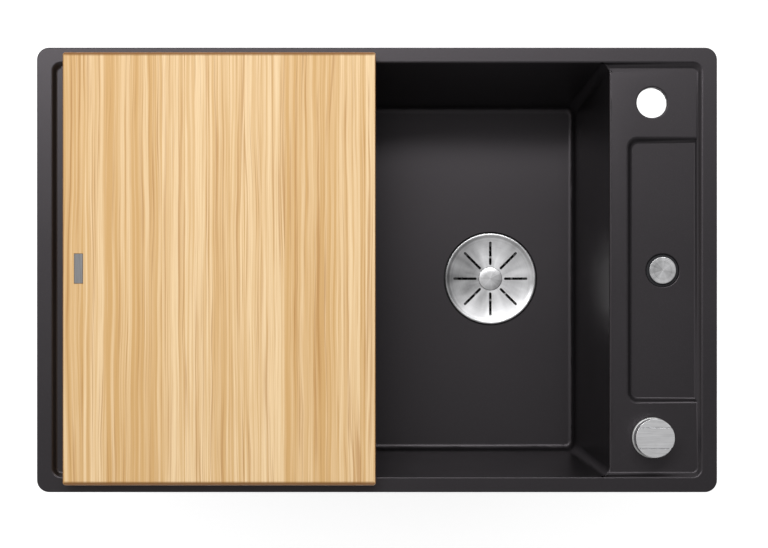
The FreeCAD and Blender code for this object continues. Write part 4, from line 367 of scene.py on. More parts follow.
def moulded_grain():
    """The fine spark texture of a moulded part, with faint flow marks."""
    def draw(graph, place, size):
        fine = graph.noise(place, graph.math("DIVIDE", 1.0, size), 2.0, 0.6)
        flow = graph.stretch(graph.noise(place, 38.0, 3.0, 0.6), 0.35, 0.65)
        return fine, flow
    return effect(
        "Moulded Grain", [("Place", "vector", (0, 0, 0)), ("Grain Size", "value", 0.4 * MM)],
        [("Height", "value"), ("Flow", "value")], draw)


def handling():
    """Faint smears and dust, as a mask."""
    def draw(graph, place, amount):
        smear = graph.noise(graph.vector("MULTIPLY", place, (60.0, 34.0, 60.0)), 1.0, 4.0, 0.65)
        return (graph.math("MULTIPLY", graph.stretch(smear, 0.5, 0.8), amount),)
    return effect(
        "Handling", [("Place", "vector", (0, 0, 0)), ("Amount", "value", 0.3)],
        [("Mask", "value")], draw)


def stave_grain():
    """Grain of a glued stave board: rings cut along the board's Y axis, and end grain across it."""
    def draw(graph, place, normal, seed, tone, pale, tan, line):
        x, y, z = graph.parts(place)
        shift = graph.math("MULTIPLY", seed, 3.7)
        # slow wander of the lines along the stave
        wander = graph.noise(graph.whole(
            graph.math("MULTIPLY", x, 16.0), graph.math("MULTIPLY", y, 4.2), shift), 1.0, 2.0)
        off = graph.math("MULTIPLY", graph.math("SUBTRACT", wander, 0.5), 0.011)
        across = graph.math("ADD", x, off)
        heart = graph.math("MULTIPLY", graph.math("SUBTRACT", graph.math(
            "FRACT", graph.math("MULTIPLY", seed, 7.31)), 0.5), 0.11)
        wide = graph.math("SUBTRACT", across, heart)
        deep = graph.math("ADD", z, graph.math("MULTIPLY", graph.math(
            "FRACT", graph.math("MULTIPLY", seed, 3.17)), 0.05))
        long = graph.math("MULTIPLY", graph.math("ADD", y, graph.math(
            "SUBTRACT", graph.math("FRACT", graph.math("MULTIPLY", seed, 5.93)), 0.5)), 0.05)
        square = graph.math("ADD", graph.math("MULTIPLY", wide, wide), graph.math("MULTIPLY", deep, deep))
        ring = graph.math("SQRT", graph.math("ADD", square, graph.math("MULTIPLY", long, long)))
        # years of uneven width, with lines that fade in and out along the stave
        year = graph.noise(graph.whole(graph.math("MULTIPLY", ring, 400.0), graph.math(
            "ADD", shift, graph.math("MULTIPLY", y, 2.6)), 0.0), 1.0, 3.0, 0.65)
        late = graph.stretch(year, 0.53, 0.63)
        hair = graph.noise(graph.whole(
            graph.math("MULTIPLY", across, 900.0), graph.math("MULTIPLY", y, 9.0),
            graph.math("ADD", graph.math("MULTIPLY", z, 500.0), shift)), 1.0, 3.0, 0.6)
        hairs = graph.stretch(hair, 0.42, 0.66)
        strip = graph.noise(graph.whole(
            graph.math("MULTIPLY", across, 260.0), graph.math("MULTIPLY", y, 1.6), shift), 1.0, 2.0, 0.6)
        strips = graph.stretch(strip, 0.36, 0.64)
        # the end grain takes up more oil and is darker, deepened with painted shade, and the eased edges get
        # the most painted shade
        over, along, up = [graph.math("ABSOLUTE", part) for part in graph.parts(normal)]
        end = graph.math("POWER", along, 1.3)
        # painted shade on the eased edges, strongest where they lean half way over
        eased = graph.math("MULTIPLY", graph.math("MAXIMUM", over, along), graph.math("MULTIPLY", up, 2.0))
        painted_edge_shade = graph.mix(1.0, line, (0.6, 0.6, 0.7), "MULTIPLY")
        share = graph.math("ADD", tone, graph.math(
            "MULTIPLY", graph.math("SUBTRACT", strips, 0.5), 0.9))
        wood = graph.mix(graph.stretch(share, 0.0, 1.0), pale, tan)
        wood = graph.mix(graph.math("MULTIPLY", late, 0.6), wood, line)
        wood = graph.mix(graph.math("MULTIPLY", hairs, 0.45), wood, tan)
        wood = graph.mix(graph.math("MULTIPLY", end, 0.6), wood, line)
        wood = graph.mix(graph.stretch(eased, 0.1, 0.9), wood, painted_edge_shade)
        roughness = graph.stretch(hair, 0.2, 0.8, 0.42, 0.56)
        height = graph.math("ADD", graph.math("MULTIPLY", late, 0.4), graph.math("MULTIPLY", hair, 0.6))
        return wood, roughness, height
    return effect(
        "Stave Grain",
        [("Place", "vector", (0, 0, 0)), ("Normal", "vector", (0, 0, 1)), ("Seed", "value", 0.0),
         ("Tone", "value", 0.5), ("Pale", "colour", (0.9, 0.7, 0.4)), ("Tan", "colour", (0.7, 0.45, 0.2)),
         ("Line", "colour", (0.45, 0.25, 0.1))],
        [("Color", "colour"), ("Roughness", "value"), ("Height", "value")], draw)


def new_finish(name, **surface):
    """A material with a Principled surface, whose plain values are set on its own sockets."""
    material = bpy.data.materials.new(name)
    material.use_nodes = True
    graph = Graph(material.node_tree)
    shader = material.node_tree.nodes["Principled BSDF"]
    for label, value in surface.items():
        graph.put(shader.inputs[label.replace("_", " ")], value)
    coordinates = graph.add("ShaderNodeTexCoord")
    return material, graph, shader, coordinates.outputs["Object"]


def dress(graph, shader, **links):
    for label, value in links.items():
        graph.put(shader.inputs[label.replace("_", " ")], value)


def stone_finish(settings):
    material, graph, shader, place = new_finish(
        "Cast Composite", Specular_IOR_Level=0.66, Specular_Tint=(1.0, 0.92, 0.99))
    grain = placed(graph, cast_grain(), Place=place, Grain_Size=0.7 * MM)
    colour = graph.mix(grain["Share"], settings.stone, settings.fleck)
    roughness = graph.math("ADD", grain["Roughness"], 0.29)
    dress(graph, shader, Base_Color=colour, Roughness=roughness,
          Normal=graph.bump(grain["Height"], 0.05 * MM, 0.5))
    return material


def wood_finish(settings):
    material, graph, shader, place = new_finish("Stave Wood", Specular_IOR_Level=0.35)
    normal = graph.add("ShaderNodeTexCoord").outputs["Normal"]
    seed = graph.add("ShaderNodeAttribute", attribute_name="stave_seed").outputs["Fac"]
    tone = graph.add("ShaderNodeAttribute", attribute_name="stave_tone").outputs["Fac"]
    grain = placed(graph, stave_grain(), Place=place, Normal=normal, Seed=seed, Tone=tone,
                   Pale=settings.pale, Tan=settings.tan, Line=settings.line)
    dress(graph, shader, Base_Color=grain["Color"], Roughness=grain["Roughness"],
          Normal=graph.bump(grain["Height"], 0.06 * MM, 0.5))
    return material


def turned_finish(name, colour, centre, spacing=0.25 * MM, turn=0.0, dark=0.5, roughness=0.2, depth=0.02,
                  contrast=1.0):
    """Metal turned or spun round an upright axis through centre, with a painted sheen in its colour; dark
    sets the painted shade between its fans.
    """
    material, graph, shader, place = new_finish(name, Metallic=1.0)
    lines = placed(graph, turned_lines(), Place=place, Centre=tuple(centre), Spacing=spacing, Seed=turn * 9)
    painted_sheen = placed(graph, painted_spun_sheen(), Place=place, Centre=tuple(centre), Turn=turn)
    smear = placed(graph, handling(), Place=place, Amount=0.25)["Mask"]
    # painted shade: the colour between the painted sheen's fans, dark times the metal's colour
    shade = [channel * dark for channel in colour]
    worn = graph.math("ADD", graph.stretch(lines["Height"], 0.3, 0.7, roughness, roughness + 0.1),
                      graph.math("MULTIPLY", smear, 0.3))
    # the painted sheen, plus the tool lines' own lighter and darker tone
    painted_sheen_and_lines = graph.math("ADD", painted_sheen["Share"], graph.stretch(lines["Height"], 0.2, 0.8, -0.12, 0.12))
    painted_sheen_and_lines = graph.math("POWER", graph.stretch(painted_sheen_and_lines, 0.0, 1.0), contrast)
    dress(graph, shader, Base_Color=graph.mix(painted_sheen_and_lines, shade, colour), Roughness=worn,
          Normal=graph.bump(lines["Height"], depth * MM, 0.6))
    return material


def brushed_finish(name, colour, stretch, roughness=0.28):
    """Metal brushed one way."""
    material, graph, shader, place = new_finish(name, Metallic=1.0)
    lines = placed(graph, brushed_lines(), Place=place, Stretch=stretch)
    smear = placed(graph, handling(), Place=place, Amount=0.3)["Mask"]
    shade = [channel * 0.8 for channel in colour]
    worn = graph.math("ADD", graph.stretch(lines["Height"], 0.3, 0.7, roughness, roughness + 0.14),
                      graph.math("MULTIPLY", smear, 0.3))
    dress(graph, shader, Base_Color=graph.mix(lines["Cloud"], shade, colour), Roughness=worn,
          Normal=graph.bump(lines["Height"], 0.02 * MM, 0.5))
    return material


def moulded_finish(name, colour, grain=0.4 * MM, roughness=0.5, dust=0.3):
    """Moulded plastic, or rubber with a rough skin."""
    material, graph, shader, place = new_finish(name, Specular_IOR_Level=0.4)
    skin = placed(graph, moulded_grain(), Place=place, Grain_Size=grain)
    marks = placed(graph, handling(), Place=place, Amount=dust)["Mask"]
    pale = [min(channel * 1.35 + 0.01, 1.0) for channel in colour]
    body = graph.mix(graph.math("MULTIPLY", skin["Flow"], 0.35), colour, pale)
    rough = graph.stretch(skin["Height"], 0.2, 0.8, roughness - 0.06, roughness + 0.08)
    dress(graph, shader, Base_Color=graph.mix(marks, body, pale), Roughness=rough,
          Normal=graph.bump(skin["Height"], 0.05 * MM, 0.5))
    return material


def finish_of(node):
    """The finish that a node's slot in the record calls for, made once for each slot or turned centre."""
    scene = bpy.context.scene
    metal, plastic = scene.sink_metal, scene.sink_plastic
    slot = SLOT_OF[node]
    turned = {"polished_steel": (metal.steel, 0.22), "brass": (metal.brass, 0.3)}
    name = slot + ("_" + node if slot in turned else "")
    if name in bpy.data.materials:
        return bpy.data.materials[name]
    if slot in turned:
        colour, roughness = turned[slot]
        # turned steel and brass carry the painted sheen and painted shade of turned_finish
        return turned_finish(name, colour, sheet_middle(node), roughness=roughness, dark=0.75,
                             turn=len(node) * 0.13 % 1.0)
    if slot == "brushed_steel":
        return brushed_finish(name, metal.steel, (220.0, 5200.0, 5200.0))
    if slot == "zinc_steel":
        return brushed_finish(name, metal.zinc, (900.0, 900.0, 260.0), 0.38)
    if slot == "black_plastic":
        return moulded_finish(name, plastic.black)
    if slot == "grey_plastic":
        return moulded_finish(name, plastic.grey, roughness=0.42)
    if slot == "seal_rubber":
        return moulded_finish(name, plastic.rubber, 0.25 * MM, 0.68, 0.5)
    raise RuntimeError("no finish is written for slot " + slot)


# ------------------------------------------------------------------ meshes

def welded(node):
    """A bmesh of a CAD node with its loose triangles joined and its flat faces made whole."""
    work = bmesh.new()
    work.from_mesh(NODES[node].data)
    bmesh.ops.remove_doubles(work, verts=work.verts, dist=0.002 * MM)
    bmesh.ops.dissolve_degenerate(work, edges=work.edges, dist=0.001 * MM)
    bmesh.ops.dissolve_limit(
        work, angle_limit=math.radians(0.6), verts=work.verts, edges=work.edges,
        use_dissolve_boundaries=False, delimit=set())
    return work


def sharp_edges(work, angle):
    limit = math.radians(angle)
    return [edge for edge in work.edges
            if len(edge.link_faces) == 2 and edge.calc_face_angle(0.0) > limit]


def rounded(work, width, angle=32, segments=2):
    """Rounds every sharp edge."""
    edges = sharp_edges(work, angle)
    if edges and width > 0:
        bmesh.ops.bevel(
            work, geom=edges, offset=width, offset_type="OFFSET", affect="EDGES", segments=segments,
            profile=0.5, material=-1, clamp_overlap=True)
    return work


def finished(work, name, material, body, stands_for=(), crease=50):
    """Turns a bmesh into a piece: smooth where it is round, riding on its body."""
    mesh = bpy.data.meshes.new(name)
    for face in work.faces:
        face.smooth = True
    work.to_mesh(mesh)
    work.free()
    mesh.set_sharp_from_angle(angle=math.radians(crease))
    mesh.materials.append(material)
    piece = bpy.data.objects.new(name, mesh)
    bpy.context.scene.collection.objects.link(piece)
    flat = piece.modifiers.new("Even shading", "WEIGHTED_NORMAL")
    flat.keep_sharp = True
    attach(piece, body)
    if stands_for:
        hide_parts(*stands_for)
    return piece


def dressed(node, width=0.35, angle=32, segments=2, material=None):
    """A CAD node's own shape with rounded edges, smooth shading and its finish."""
    work = rounded(welded(node), width * MM, angle, segments)
    return finished(work, node + "_dressed", material or finish_of(node), BODY_OF[node],
                    [node])


def turned(outline, centre, steps=64):
    """A bmesh spun from an outline of (radius, height) in millimetres."""
    work = bmesh.new()
    corners = [work.verts.new((radius * MM, 0.0, height * MM)) for radius, height in outline]
    edges = [work.edges.new(pair) for pair in zip(corners, corners[1:])]
    bmesh.ops.spin(
        work, geom=corners + edges, cent=(0, 0, 0), axis=(0, 0, 1), angle=math.tau, steps=steps,
        use_merge=True, use_duplicate=False)
    bmesh.ops.remove_doubles(work, verts=work.verts, dist=0.001 * MM)
    bmesh.ops.recalc_face_normals(work, faces=work.faces)
    bmesh.ops.transform(work, matrix=Matrix.Translation(centre), verts=work.verts)
    return work


def whole_object(name, shape):
    """A bmesh as an object for a moment's use."""
    mesh = bpy.data.meshes.new(name)
    shape.to_mesh(mesh)
    shape.free()
    holder = bpy.data.objects.new(name, mesh)
    bpy.context.scene.collection.objects.link(holder)
    return holder


def cut_out(stock, cutter):
    """The first bmesh with the second cut out of it."""
    stock, cutter = whole_object("stock", stock), whole_object("cutter", cutter)
    saw = stock.modifiers.new("Saw", "BOOLEAN")
    saw.object = cutter
    saw.operation = "DIFFERENCE"
    saw.solver = "EXACT"
    bpy.context.view_layer.update()
    cut = bpy.data.meshes.new_from_object(stock.evaluated_get(bpy.context.evaluated_depsgraph_get()))
    work = bmesh.new()
    work.from_mesh(cut)
    for holder in (stock, cutter):
        mesh = holder.data
        bpy.data.objects.remove(holder)
        bpy.data.meshes.remove(mesh)
    bpy.data.meshes.remove(cut)
    return work


def add_block(work, low, high):
    """Adds a block between two corners, and gives back its vertices."""
    low, high = Vector(low), Vector(high)
    size = high - low
    return bmesh.ops.create_cube(
        work, size=1.0, matrix=Matrix.Translation((low + high) / 2) @ Matrix.Diagonal((*size, 1.0)))["verts"]


def smooth_route(points):
    """Points along one smooth curve through a route, with their distances from its start."""
    curve = bpy.data.curves.new("route", "CURVE")
    curve.dimensions = "3D"
    curve.resolution_u = 24
    spline = curve.splines.new("NURBS")
    spline.points.add(len(points) - 1)
    for control, point in zip(spline.points, points):
        control.co = (*point, 1.0)
    spline.order_u = 3
    spline.use_endpoint_u = True
    holder = bpy.data.objects.new("route", curve)
    bpy.context.scene.collection.objects.link(holder)
    bpy.context.view_layer.update()
    mesh = bpy.data.meshes.new_from_object(holder.evaluated_get(bpy.context.evaluated_depsgraph_get()))
    spots = [vertex.co.copy() for vertex in mesh.vertices]
    bpy.data.meshes.remove(mesh)
    bpy.data.objects.remove(holder)
    bpy.data.curves.remove(curve)
    lengths = [0.0]
    for before, after in zip(spots, spots[1:]):
        lengths.append(lengths[-1] + (after - before).length)
    return spots, lengths


def along(spots, lengths, distance):
    """Place and direction at a distance along a smooth route."""
    distance = min(max(distance, 0.0), lengths[-1])
    index = next((i for i in range(1, len(lengths)) if lengths[i] >= distance), len(lengths) - 1)
    share = (distance - lengths[index - 1]) / (lengths[index] - lengths[index - 1])
    place = spots[index - 1].lerp(spots[index], share)
    before = spots[max(index - 2, 0)]
    after = spots[min(index + 1, len(spots) - 1)]
    if index < 2:
        before, after = spots[0], spots[1]
    if index > len(spots) - 3:
        before, after = spots[-2], spots[-1]
    return place, (after - before).normalized()


def tube(points, stations, segments, side=(0, 1, 0), inside=None):
    """A tube along a route whose radius follows (distance, radius) stations; inside adds a bore."""
    spots, lengths = smooth_route(points)
    work = bmesh.new()
    across = Vector(side)
    rings = []
    outline = [(distance, radius) for distance, radius in stations]
    if inside:
        outline += [(distance, inside) for distance, radius in reversed(stations)]
    scale = lengths[-1] / stations[-1][0]
    for distance, radius in outline:
        place, ahead = along(spots, lengths, distance * scale)
        across = (across - ahead * across.dot(ahead)).normalized()
        turn = Matrix((across, ahead.cross(across), ahead)).transposed().to_4x4()
        made = bmesh.ops.create_circle(
            work, cap_ends=False, segments=segments, radius=radius,
            matrix=Matrix.Translation(place) @ turn)
        edges = {edge for vertex in made["verts"] for edge in vertex.link_edges}
        rings.append(list(edges))
    pairs = list(zip(rings, rings[1:]))
    if inside:
        pairs.append((rings[-1], rings[0]))
    for first, second in pairs:
        bmesh.ops.bridge_loops(work, edges=first + second)
    if not inside:
        for ring in (rings[0], rings[-1]):
            bmesh.ops.contextual_create(work, geom=ring)
    bmesh.ops.recalc_face_normals(work, faces=work.faces)
    return work


# ------------------------------------------------------------------ pieces

class SINK_OT_stage(bpy.types.Operator):
    """Camera, lamps, floor and world"""
    bl_idname = "sink.make_stage"
    bl_label = "Make Stage"

    def execute(self, context):
        scene, settings = context.scene, context.scene.sink_stage
        scene.view_settings.view_transform = "Standard"

        lens = bpy.data.cameras.new("Camera")
        lens.sensor_width = 36.0
        lens.lens = settings.focal_length
        lens.shift_x = settings.shift_right
        lens.shift_y = settings.shift_up
        camera = bpy.data.objects.new("Camera", lens)
        camera.location = (0.0, -settings.camera_forward, settings.camera_height)
        scene.collection.objects.link(camera)
        scene.camera = camera

        self.make_lamp(scene, "Back", (-0.2, 1.0, 2.0), (2.0, 0.3), settings.back_power)
        self.make_lamp(scene, "Left", (-1.3, 0.3, 1.6), (1.4, 1.0), settings.left_power)
        self.make_world(scene, settings)
        self.make_floor(scene, settings)
        return {"FINISHED"}

    def make_lamp(self, scene, name, place, size, power):
        lamp = bpy.data.lights.new(name, "AREA")
        lamp.shape = "RECTANGLE"
        lamp.size, lamp.size_y = size
        lamp.energy = power
        holder = bpy.data.objects.new(name, lamp)
        holder.location = place
        holder.rotation_euler = (-holder.location).to_track_quat("-Z", "Y").to_euler()
        scene.collection.objects.link(holder)

    def seen_directly(self, graph):
        """1 for rays that show the surroundings: camera, mirror and glass rays."""
        path = graph.add("ShaderNodeLightPath").outputs
        seen = graph.math("MAXIMUM", path["Is Camera Ray"], path["Is Glossy Ray"])
        return graph.math("MAXIMUM", seen, path["Is Transmission Ray"])

    def make_world(self, scene, settings):
        world = bpy.data.worlds.new("Surroundings")
        world.use_nodes = True
        graph = Graph(world.node_tree)
        background = world.node_tree.nodes["Background"]
        background.inputs["Color"].default_value = (1, 1, 1, 1)
        right, back, above = graph.parts(graph.add("ShaderNodeTexCoord").outputs["Generated"])
        towards = graph.math(
            "SUBTRACT", graph.math("MULTIPLY", back, 0.8), graph.math("MULTIPLY", right, 0.6))
        dome = graph.math("MULTIPLY", graph.stretch(above, 0.08, 0.5, 1.0, settings.overhead),
                          graph.stretch(towards, -0.6, 0.2, settings.far_side, 1.0))
        dome = graph.math("MAXIMUM", dome, graph.stretch(above, 0.03, 0.08, 1.0, 0.0))
        camera = graph.add("ShaderNodeLightPath").outputs["Is Camera Ray"]
        seen = graph.math("MAXIMUM", dome, camera)
        share = self.seen_directly(graph)
        strength = graph.math("ADD", graph.math("MULTIPLY", seen, share), graph.math(
            "MULTIPLY", graph.math("SUBTRACT", 1.0, share), settings.fill_strength))
        graph.put(background.inputs["Strength"], strength)
        scene.world = world

    def make_floor(self, scene, settings):
        low = CAD_BOX[0][2]
        work = bmesh.new()
        bmesh.ops.create_grid(work, x_segments=1, y_segments=1, size=9.0,
                              matrix=Matrix.Translation((0, 0, low)))
        mesh = bpy.data.meshes.new("floor")
        work.to_mesh(mesh)
        work.free()
        material, graph, shader, place = new_finish("Floor", Roughness=0.85, Specular_IOR_Level=0.1)
        graph.put(shader.inputs["Base Color"], settings.floor_colour)
        lift = graph.add("ShaderNodeEmission", {"Strength": graph.math(
            "MULTIPLY", self.seen_directly(graph), settings.floor_lift)})
        both = graph.add("ShaderNodeAddShader", {0: shader.outputs[0], 1: lift.outputs[0]})
        output = material.node_tree.nodes["Material Output"]
        graph.put(output.inputs["Surface"], both.outputs[0])
        mesh.materials.append(material)
        floor = bpy.data.objects.new("floor", mesh)
        scene.collection.objects.link(floor)


class SINK_OT_bowl(bpy.types.Operator):
    """The cast composite body and the sealing strip under its rim"""
    bl_idname = "sink.make_bowl"
    bl_label = "Make Bowl"

    SHOWN_DEPTH, RIM_MARGIN = 12.5 * MM, 3 * MM  # depth of the steps that show, and the rim's own edge

    def execute(self, context):
        settings = context.scene.sink_bowl
        work = welded("sink_body")
        low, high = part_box("sink_body")
        shown = [edge for edge in sharp_edges(work, 20) if self.shows(edge, high)]
        bmesh.ops.bevel(work, geom=shown, offset=settings.edge, offset_type="OFFSET", affect="EDGES",
                        segments=5, profile=0.5, material=-1, clamp_overlap=False)
        rounded(work, settings.hidden_edge, 36, 2)
        finished(work, "sink_body_cast", stone_finish(settings), "root",
                 ["sink_body"], 50)
        dressed("rim_seal", 0.4, 40, 2)
        return {"FINISHED"}

    def shows(self, edge, high):
        """Whether an edge belongs to the steps inside the rim, the tray or the mouth."""
        for vertex in edge.verts:
            if vertex.co.z < high.z - self.SHOWN_DEPTH:
                return False
            if (abs(vertex.co.x) > high.x - self.RIM_MARGIN
                    or abs(vertex.co.y) > high.y - self.RIM_MARGIN):
                return False
        slopes = [face.normal.z for face in edge.link_faces]
        return min(slopes) > -0.01 and max(slopes) > 0.9


class SINK_OT_board(bpy.types.Operator):
    """The glued stave board with its tongue, and the blank plate let into it"""
    bl_idname = "sink.make_board"
    bl_label = "Make Board"

    PALE_STAVE, MIDDLE_STAVE, TAN_STAVE = 0.18, 0.4, 0.68
    # where each stave ends, in millimetres from the board's left edge, and its tone
    STAVES = (
        (23, TAN_STAVE), (50, MIDDLE_STAVE), (112, TAN_STAVE), (138, PALE_STAVE), (166, PALE_STAVE),
        (189, MIDDLE_STAVE), (206, MIDDLE_STAVE), (225, PALE_STAVE), (252, PALE_STAVE),
        (313, TAN_STAVE), (338, PALE_STAVE), (343, TAN_STAVE), (355, PALE_STAVE),
    )
    JOINT, JOINT_TONE = 0.8, 1.1  # width of the brown line at a joint, and its tone

    def execute(self, context):
        settings = context.scene.sink_board
        low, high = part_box("cutting_board")
        rest = low.z + settings.tongue_depth
        size = Vector((high.x - low.x, high.y - low.y, high.z - rest))
        middle = Vector(((low.x + high.x) / 2, 0.0, (rest + high.z) / 2))
        work = bmesh.new()
        bmesh.ops.create_cube(
            work, size=1.0, matrix=Matrix.Translation(middle) @ Matrix.Diagonal((*size, 1.0)))
        plate_low, plate_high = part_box("board_plate")
        ends = (low.x + settings.tongue_end, high.x - settings.tongue_end, plate_low.x, plate_high.x)
        sides = (low.y + settings.tongue_side, high.y - settings.tongue_side, plate_low.y, plate_high.y)
        joints = [low.x + (end + side * self.JOINT / 2) * MM
                  for end, tone in self.STAVES[:-1] for side in (-1, 1)]
        for level, normal in ([(x, (1, 0, 0)) for x in joints + list(ends)]
                              + [(y, (0, 1, 0)) for y in sides]):
            bmesh.ops.bisect_plane(
                work, geom=work.verts[:] + work.edges[:] + work.faces[:], dist=0.0001 * MM,
                plane_co=[level * part for part in normal], plane_no=normal)
        self.drop(work, -1, ends[:2], sides[:2], -settings.tongue_depth)
        self.drop(work, 1, ends[2:], sides[2:], plate_low.z - high.z)
        self.mark_staves(work, low.x)
        weights = work.edges.layers.float.new("bevel_weight_edge")
        for edge in sharp_edges(work, 40):
            edge[weights] = self.ease(edge, low, high, rest, settings)
        board = finished(work, "cutting_board_staves", wood_finish(settings), "board",
                         ["cutting_board"], 60)
        ease = board.modifiers.new("Eased edges", "BEVEL")
        ease.limit_method = "WEIGHT"
        ease.width = settings.long_round
        ease.segments = 4
        board.modifiers.move(1, 0)
        self.make_plate(context, plate_low, plate_high)
        return {"FINISHED"}

    def drop(self, work, side, ends, sides, step):
        """Moves the part of the top or bottom inside a rectangle up or down, with walls."""
        faces = [face for face in work.faces if face.normal.z * side > 0.9
                 and ends[0] < face.calc_center_median().x < ends[1]
                 and sides[0] < face.calc_center_median().y < sides[1]]
        made = bmesh.ops.extrude_face_region(work, geom=faces)
        bmesh.ops.delete(work, geom=faces, context="FACES")
        moved = [item for item in made["geom"] if isinstance(item, bmesh.types.BMVert)]
        bmesh.ops.translate(work, vec=(0, 0, step), verts=moved)
        bmesh.ops.recalc_face_normals(work, faces=work.faces)

    def mark_staves(self, work, left):
        seeds = work.faces.layers.float.new("stave_seed")
        tones = work.faces.layers.float.new("stave_tone")
        draw = random.Random(7)
        chance = [draw.random() for stave in self.STAVES]
        for face in work.faces:
            across = (face.calc_center_median().x - left) / MM
            index = next(i for i, (end, tone) in enumerate(self.STAVES) if across <= end + 0.01)
            face[seeds] = chance[index]
            at_joint = any(abs(across - end) < self.JOINT / 2 for end, tone in self.STAVES[:-1])
            face[tones] = self.JOINT_TONE if at_joint else self.STAVES[index][1]

    def ease(self, edge, low, high, rest, settings):
        """Share of the long edges' rounding that an edge gets."""
        first, second = [vertex.co for vertex in edge.verts]
        middle = (first + second) / 2
        small = 1.2 * MM / settings.long_round
        if abs(middle.y) < max(abs(low.y), abs(high.y)) - 0.1 * MM and middle.z > high.z - 2 * MM:
            on_end = min(abs(middle.x - low.x), abs(middle.x - high.x)) < 0.1 * MM
            return small if on_end else small * 0.2
        if middle.z > high.z - 0.1 * MM:
            return 1.0
        if abs(first.z - second.z) > 5 * MM:
            return settings.corner / settings.long_round
        return small

    def make_plate(self, context, low, high):
        size = high - low - Vector((0.3, 0.3, 0.0)) * MM
        work = bmesh.new()
        bmesh.ops.create_cube(
            work, size=1.0, matrix=Matrix.Translation((low + high) / 2) @ Matrix.Diagonal((*size, 1.0)))
        upright = [edge for edge in work.edges if abs(edge.verts[0].co.z - edge.verts[1].co.z) > 0.1 * MM]
        bmesh.ops.bevel(work, geom=upright, offset=1.2 * MM, affect="EDGES", segments=4, profile=0.5,
                        material=-1)
        rounded(work, 0.25 * MM, 40, 2)
        steel = context.scene.sink_metal.steel
        finish = brushed_finish("Plate Steel", [channel * 0.46 for channel in steel],
                                (5200.0, 180.0, 5200.0), 0.42)
        finished(work, "board_plate_blank", finish, "board", ["board_plate"])


class SINK_OT_strainer(bpy.types.Operator):
    """The lifted basket strainer"""
    bl_idname = "sink.make_strainer"
    bl_label = "Make Strainer"

    def execute(self, context):
        steel = context.scene.sink_metal.steel
        centre = sheet_middle("strainer_disc")
        # painted light: steel made lighter than steel, as if more brightly lit, for the disc and collar, with
        # the painted sheen
        bright = [channel * 1.55 for channel in steel]
        self.make_disc(context.scene.sink_strainer, turned_finish(
            "Strainer Disc", bright, centre, 0.35 * MM, 0.0, 0.26, 0.32, 0.03))
        # painted light: the button's steel made lighter than steel, with the painted sheen
        dressed("strainer_button", 0.5, 24, 3, turned_finish(
            "Strainer Button", [channel * 1.5 for channel in steel], centre, 0.3 * MM, 0.55, 0.5, 0.28, 0.01))
        # painted light and shade: the collar is light only where the painted sheen is, and near black between
        dressed("strainer_collar", 0.5, material=turned_finish(
            "Collar Steel", bright, centre, 0.3 * MM, 0.0, 0.02, 0.3, 0.01, 4.0))
        # painted shade: the basket's steel made near black, for the shade under the disc's slots
        dressed("strainer_basket", 0.3, material=brushed_finish(
            "Basket Steel", [channel * 0.10 for channel in steel], (500.0, 500.0, 2600.0), 0.5))
        dressed("strainer_stem", 0.4)
        dressed("valve_seal", 0.8)
        return {"FINISHED"}

    def make_disc(self, settings, finish):
        low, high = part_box("strainer_disc")
        edge, top = (high.x - low.x) / 2 / MM, high.z / MM
        rise, dish, sheet = settings.lip_rise / MM, settings.dish_depth / MM, settings.sheet / MM
        lip, hole, flat = edge - 4.4, 3.0, 37.0
        # the dish's upper side from its hole to the lip, over the lip's crown and back underneath
        upper = [(hole, -rise - dish), (10, -rise - dish), (17, -rise - dish), (26, -rise - dish),
                 (flat, -rise - dish), ((flat + lip) / 2, -rise - dish * 0.5),
                 (lip - 1.8, -rise - dish * 0.12),
                 (lip - 0.8, -rise * 0.92), (lip, -rise * 0.68), (lip + 0.8, -rise * 0.36),
                 (lip + 1.6, -rise * 0.12), (lip + 2.4, 0), (edge - 1.1, -0.04), (edge - 0.5, -0.22),
                 (edge - 0.12, -0.62), (edge, -rise - sheet * 0.3)]
        under = [(edge - 0.2, -rise - sheet), (lip, -rise - sheet), (flat, -rise - dish - sheet),
                 (hole, -rise - dish - sheet)]
        outline = [(radius, top + drop) for radius, drop in upper + under + upper[:1]]
        disc = turned(outline, (sheet_middle("strainer_disc").x, 0, 0), 96)
        slots = bmesh.new()
        half = settings.slot_width / 2
        add_block(slots, (settings.slot_inner, -half, (top - 8) * MM),
                  (settings.slot_outer, half, (top + 4) * MM))
        upright = [side for side in slots.edges if abs(side.verts[0].co.z - side.verts[1].co.z) > MM]
        bmesh.ops.bevel(slots, geom=upright, offset=half * 0.95, affect="EDGES", segments=5, profile=0.5,
                        material=-1)
        count = settings.slot_count
        bmesh.ops.spin(slots, geom=slots.verts[:] + slots.edges[:] + slots.faces[:], cent=(0, 0, 0),
                       axis=(0, 0, 1), angle=math.tau * (count - 1) / count, steps=count - 1,
                       use_duplicate=True)
        bmesh.ops.translate(slots, vec=(sheet_middle("strainer_disc").x, 0, 0), verts=slots.verts)
        disc = cut_out(disc, slots)
        finished(disc, "strainer_disc_spun", finish, "strainer",
                 ["strainer_disc"], 40)


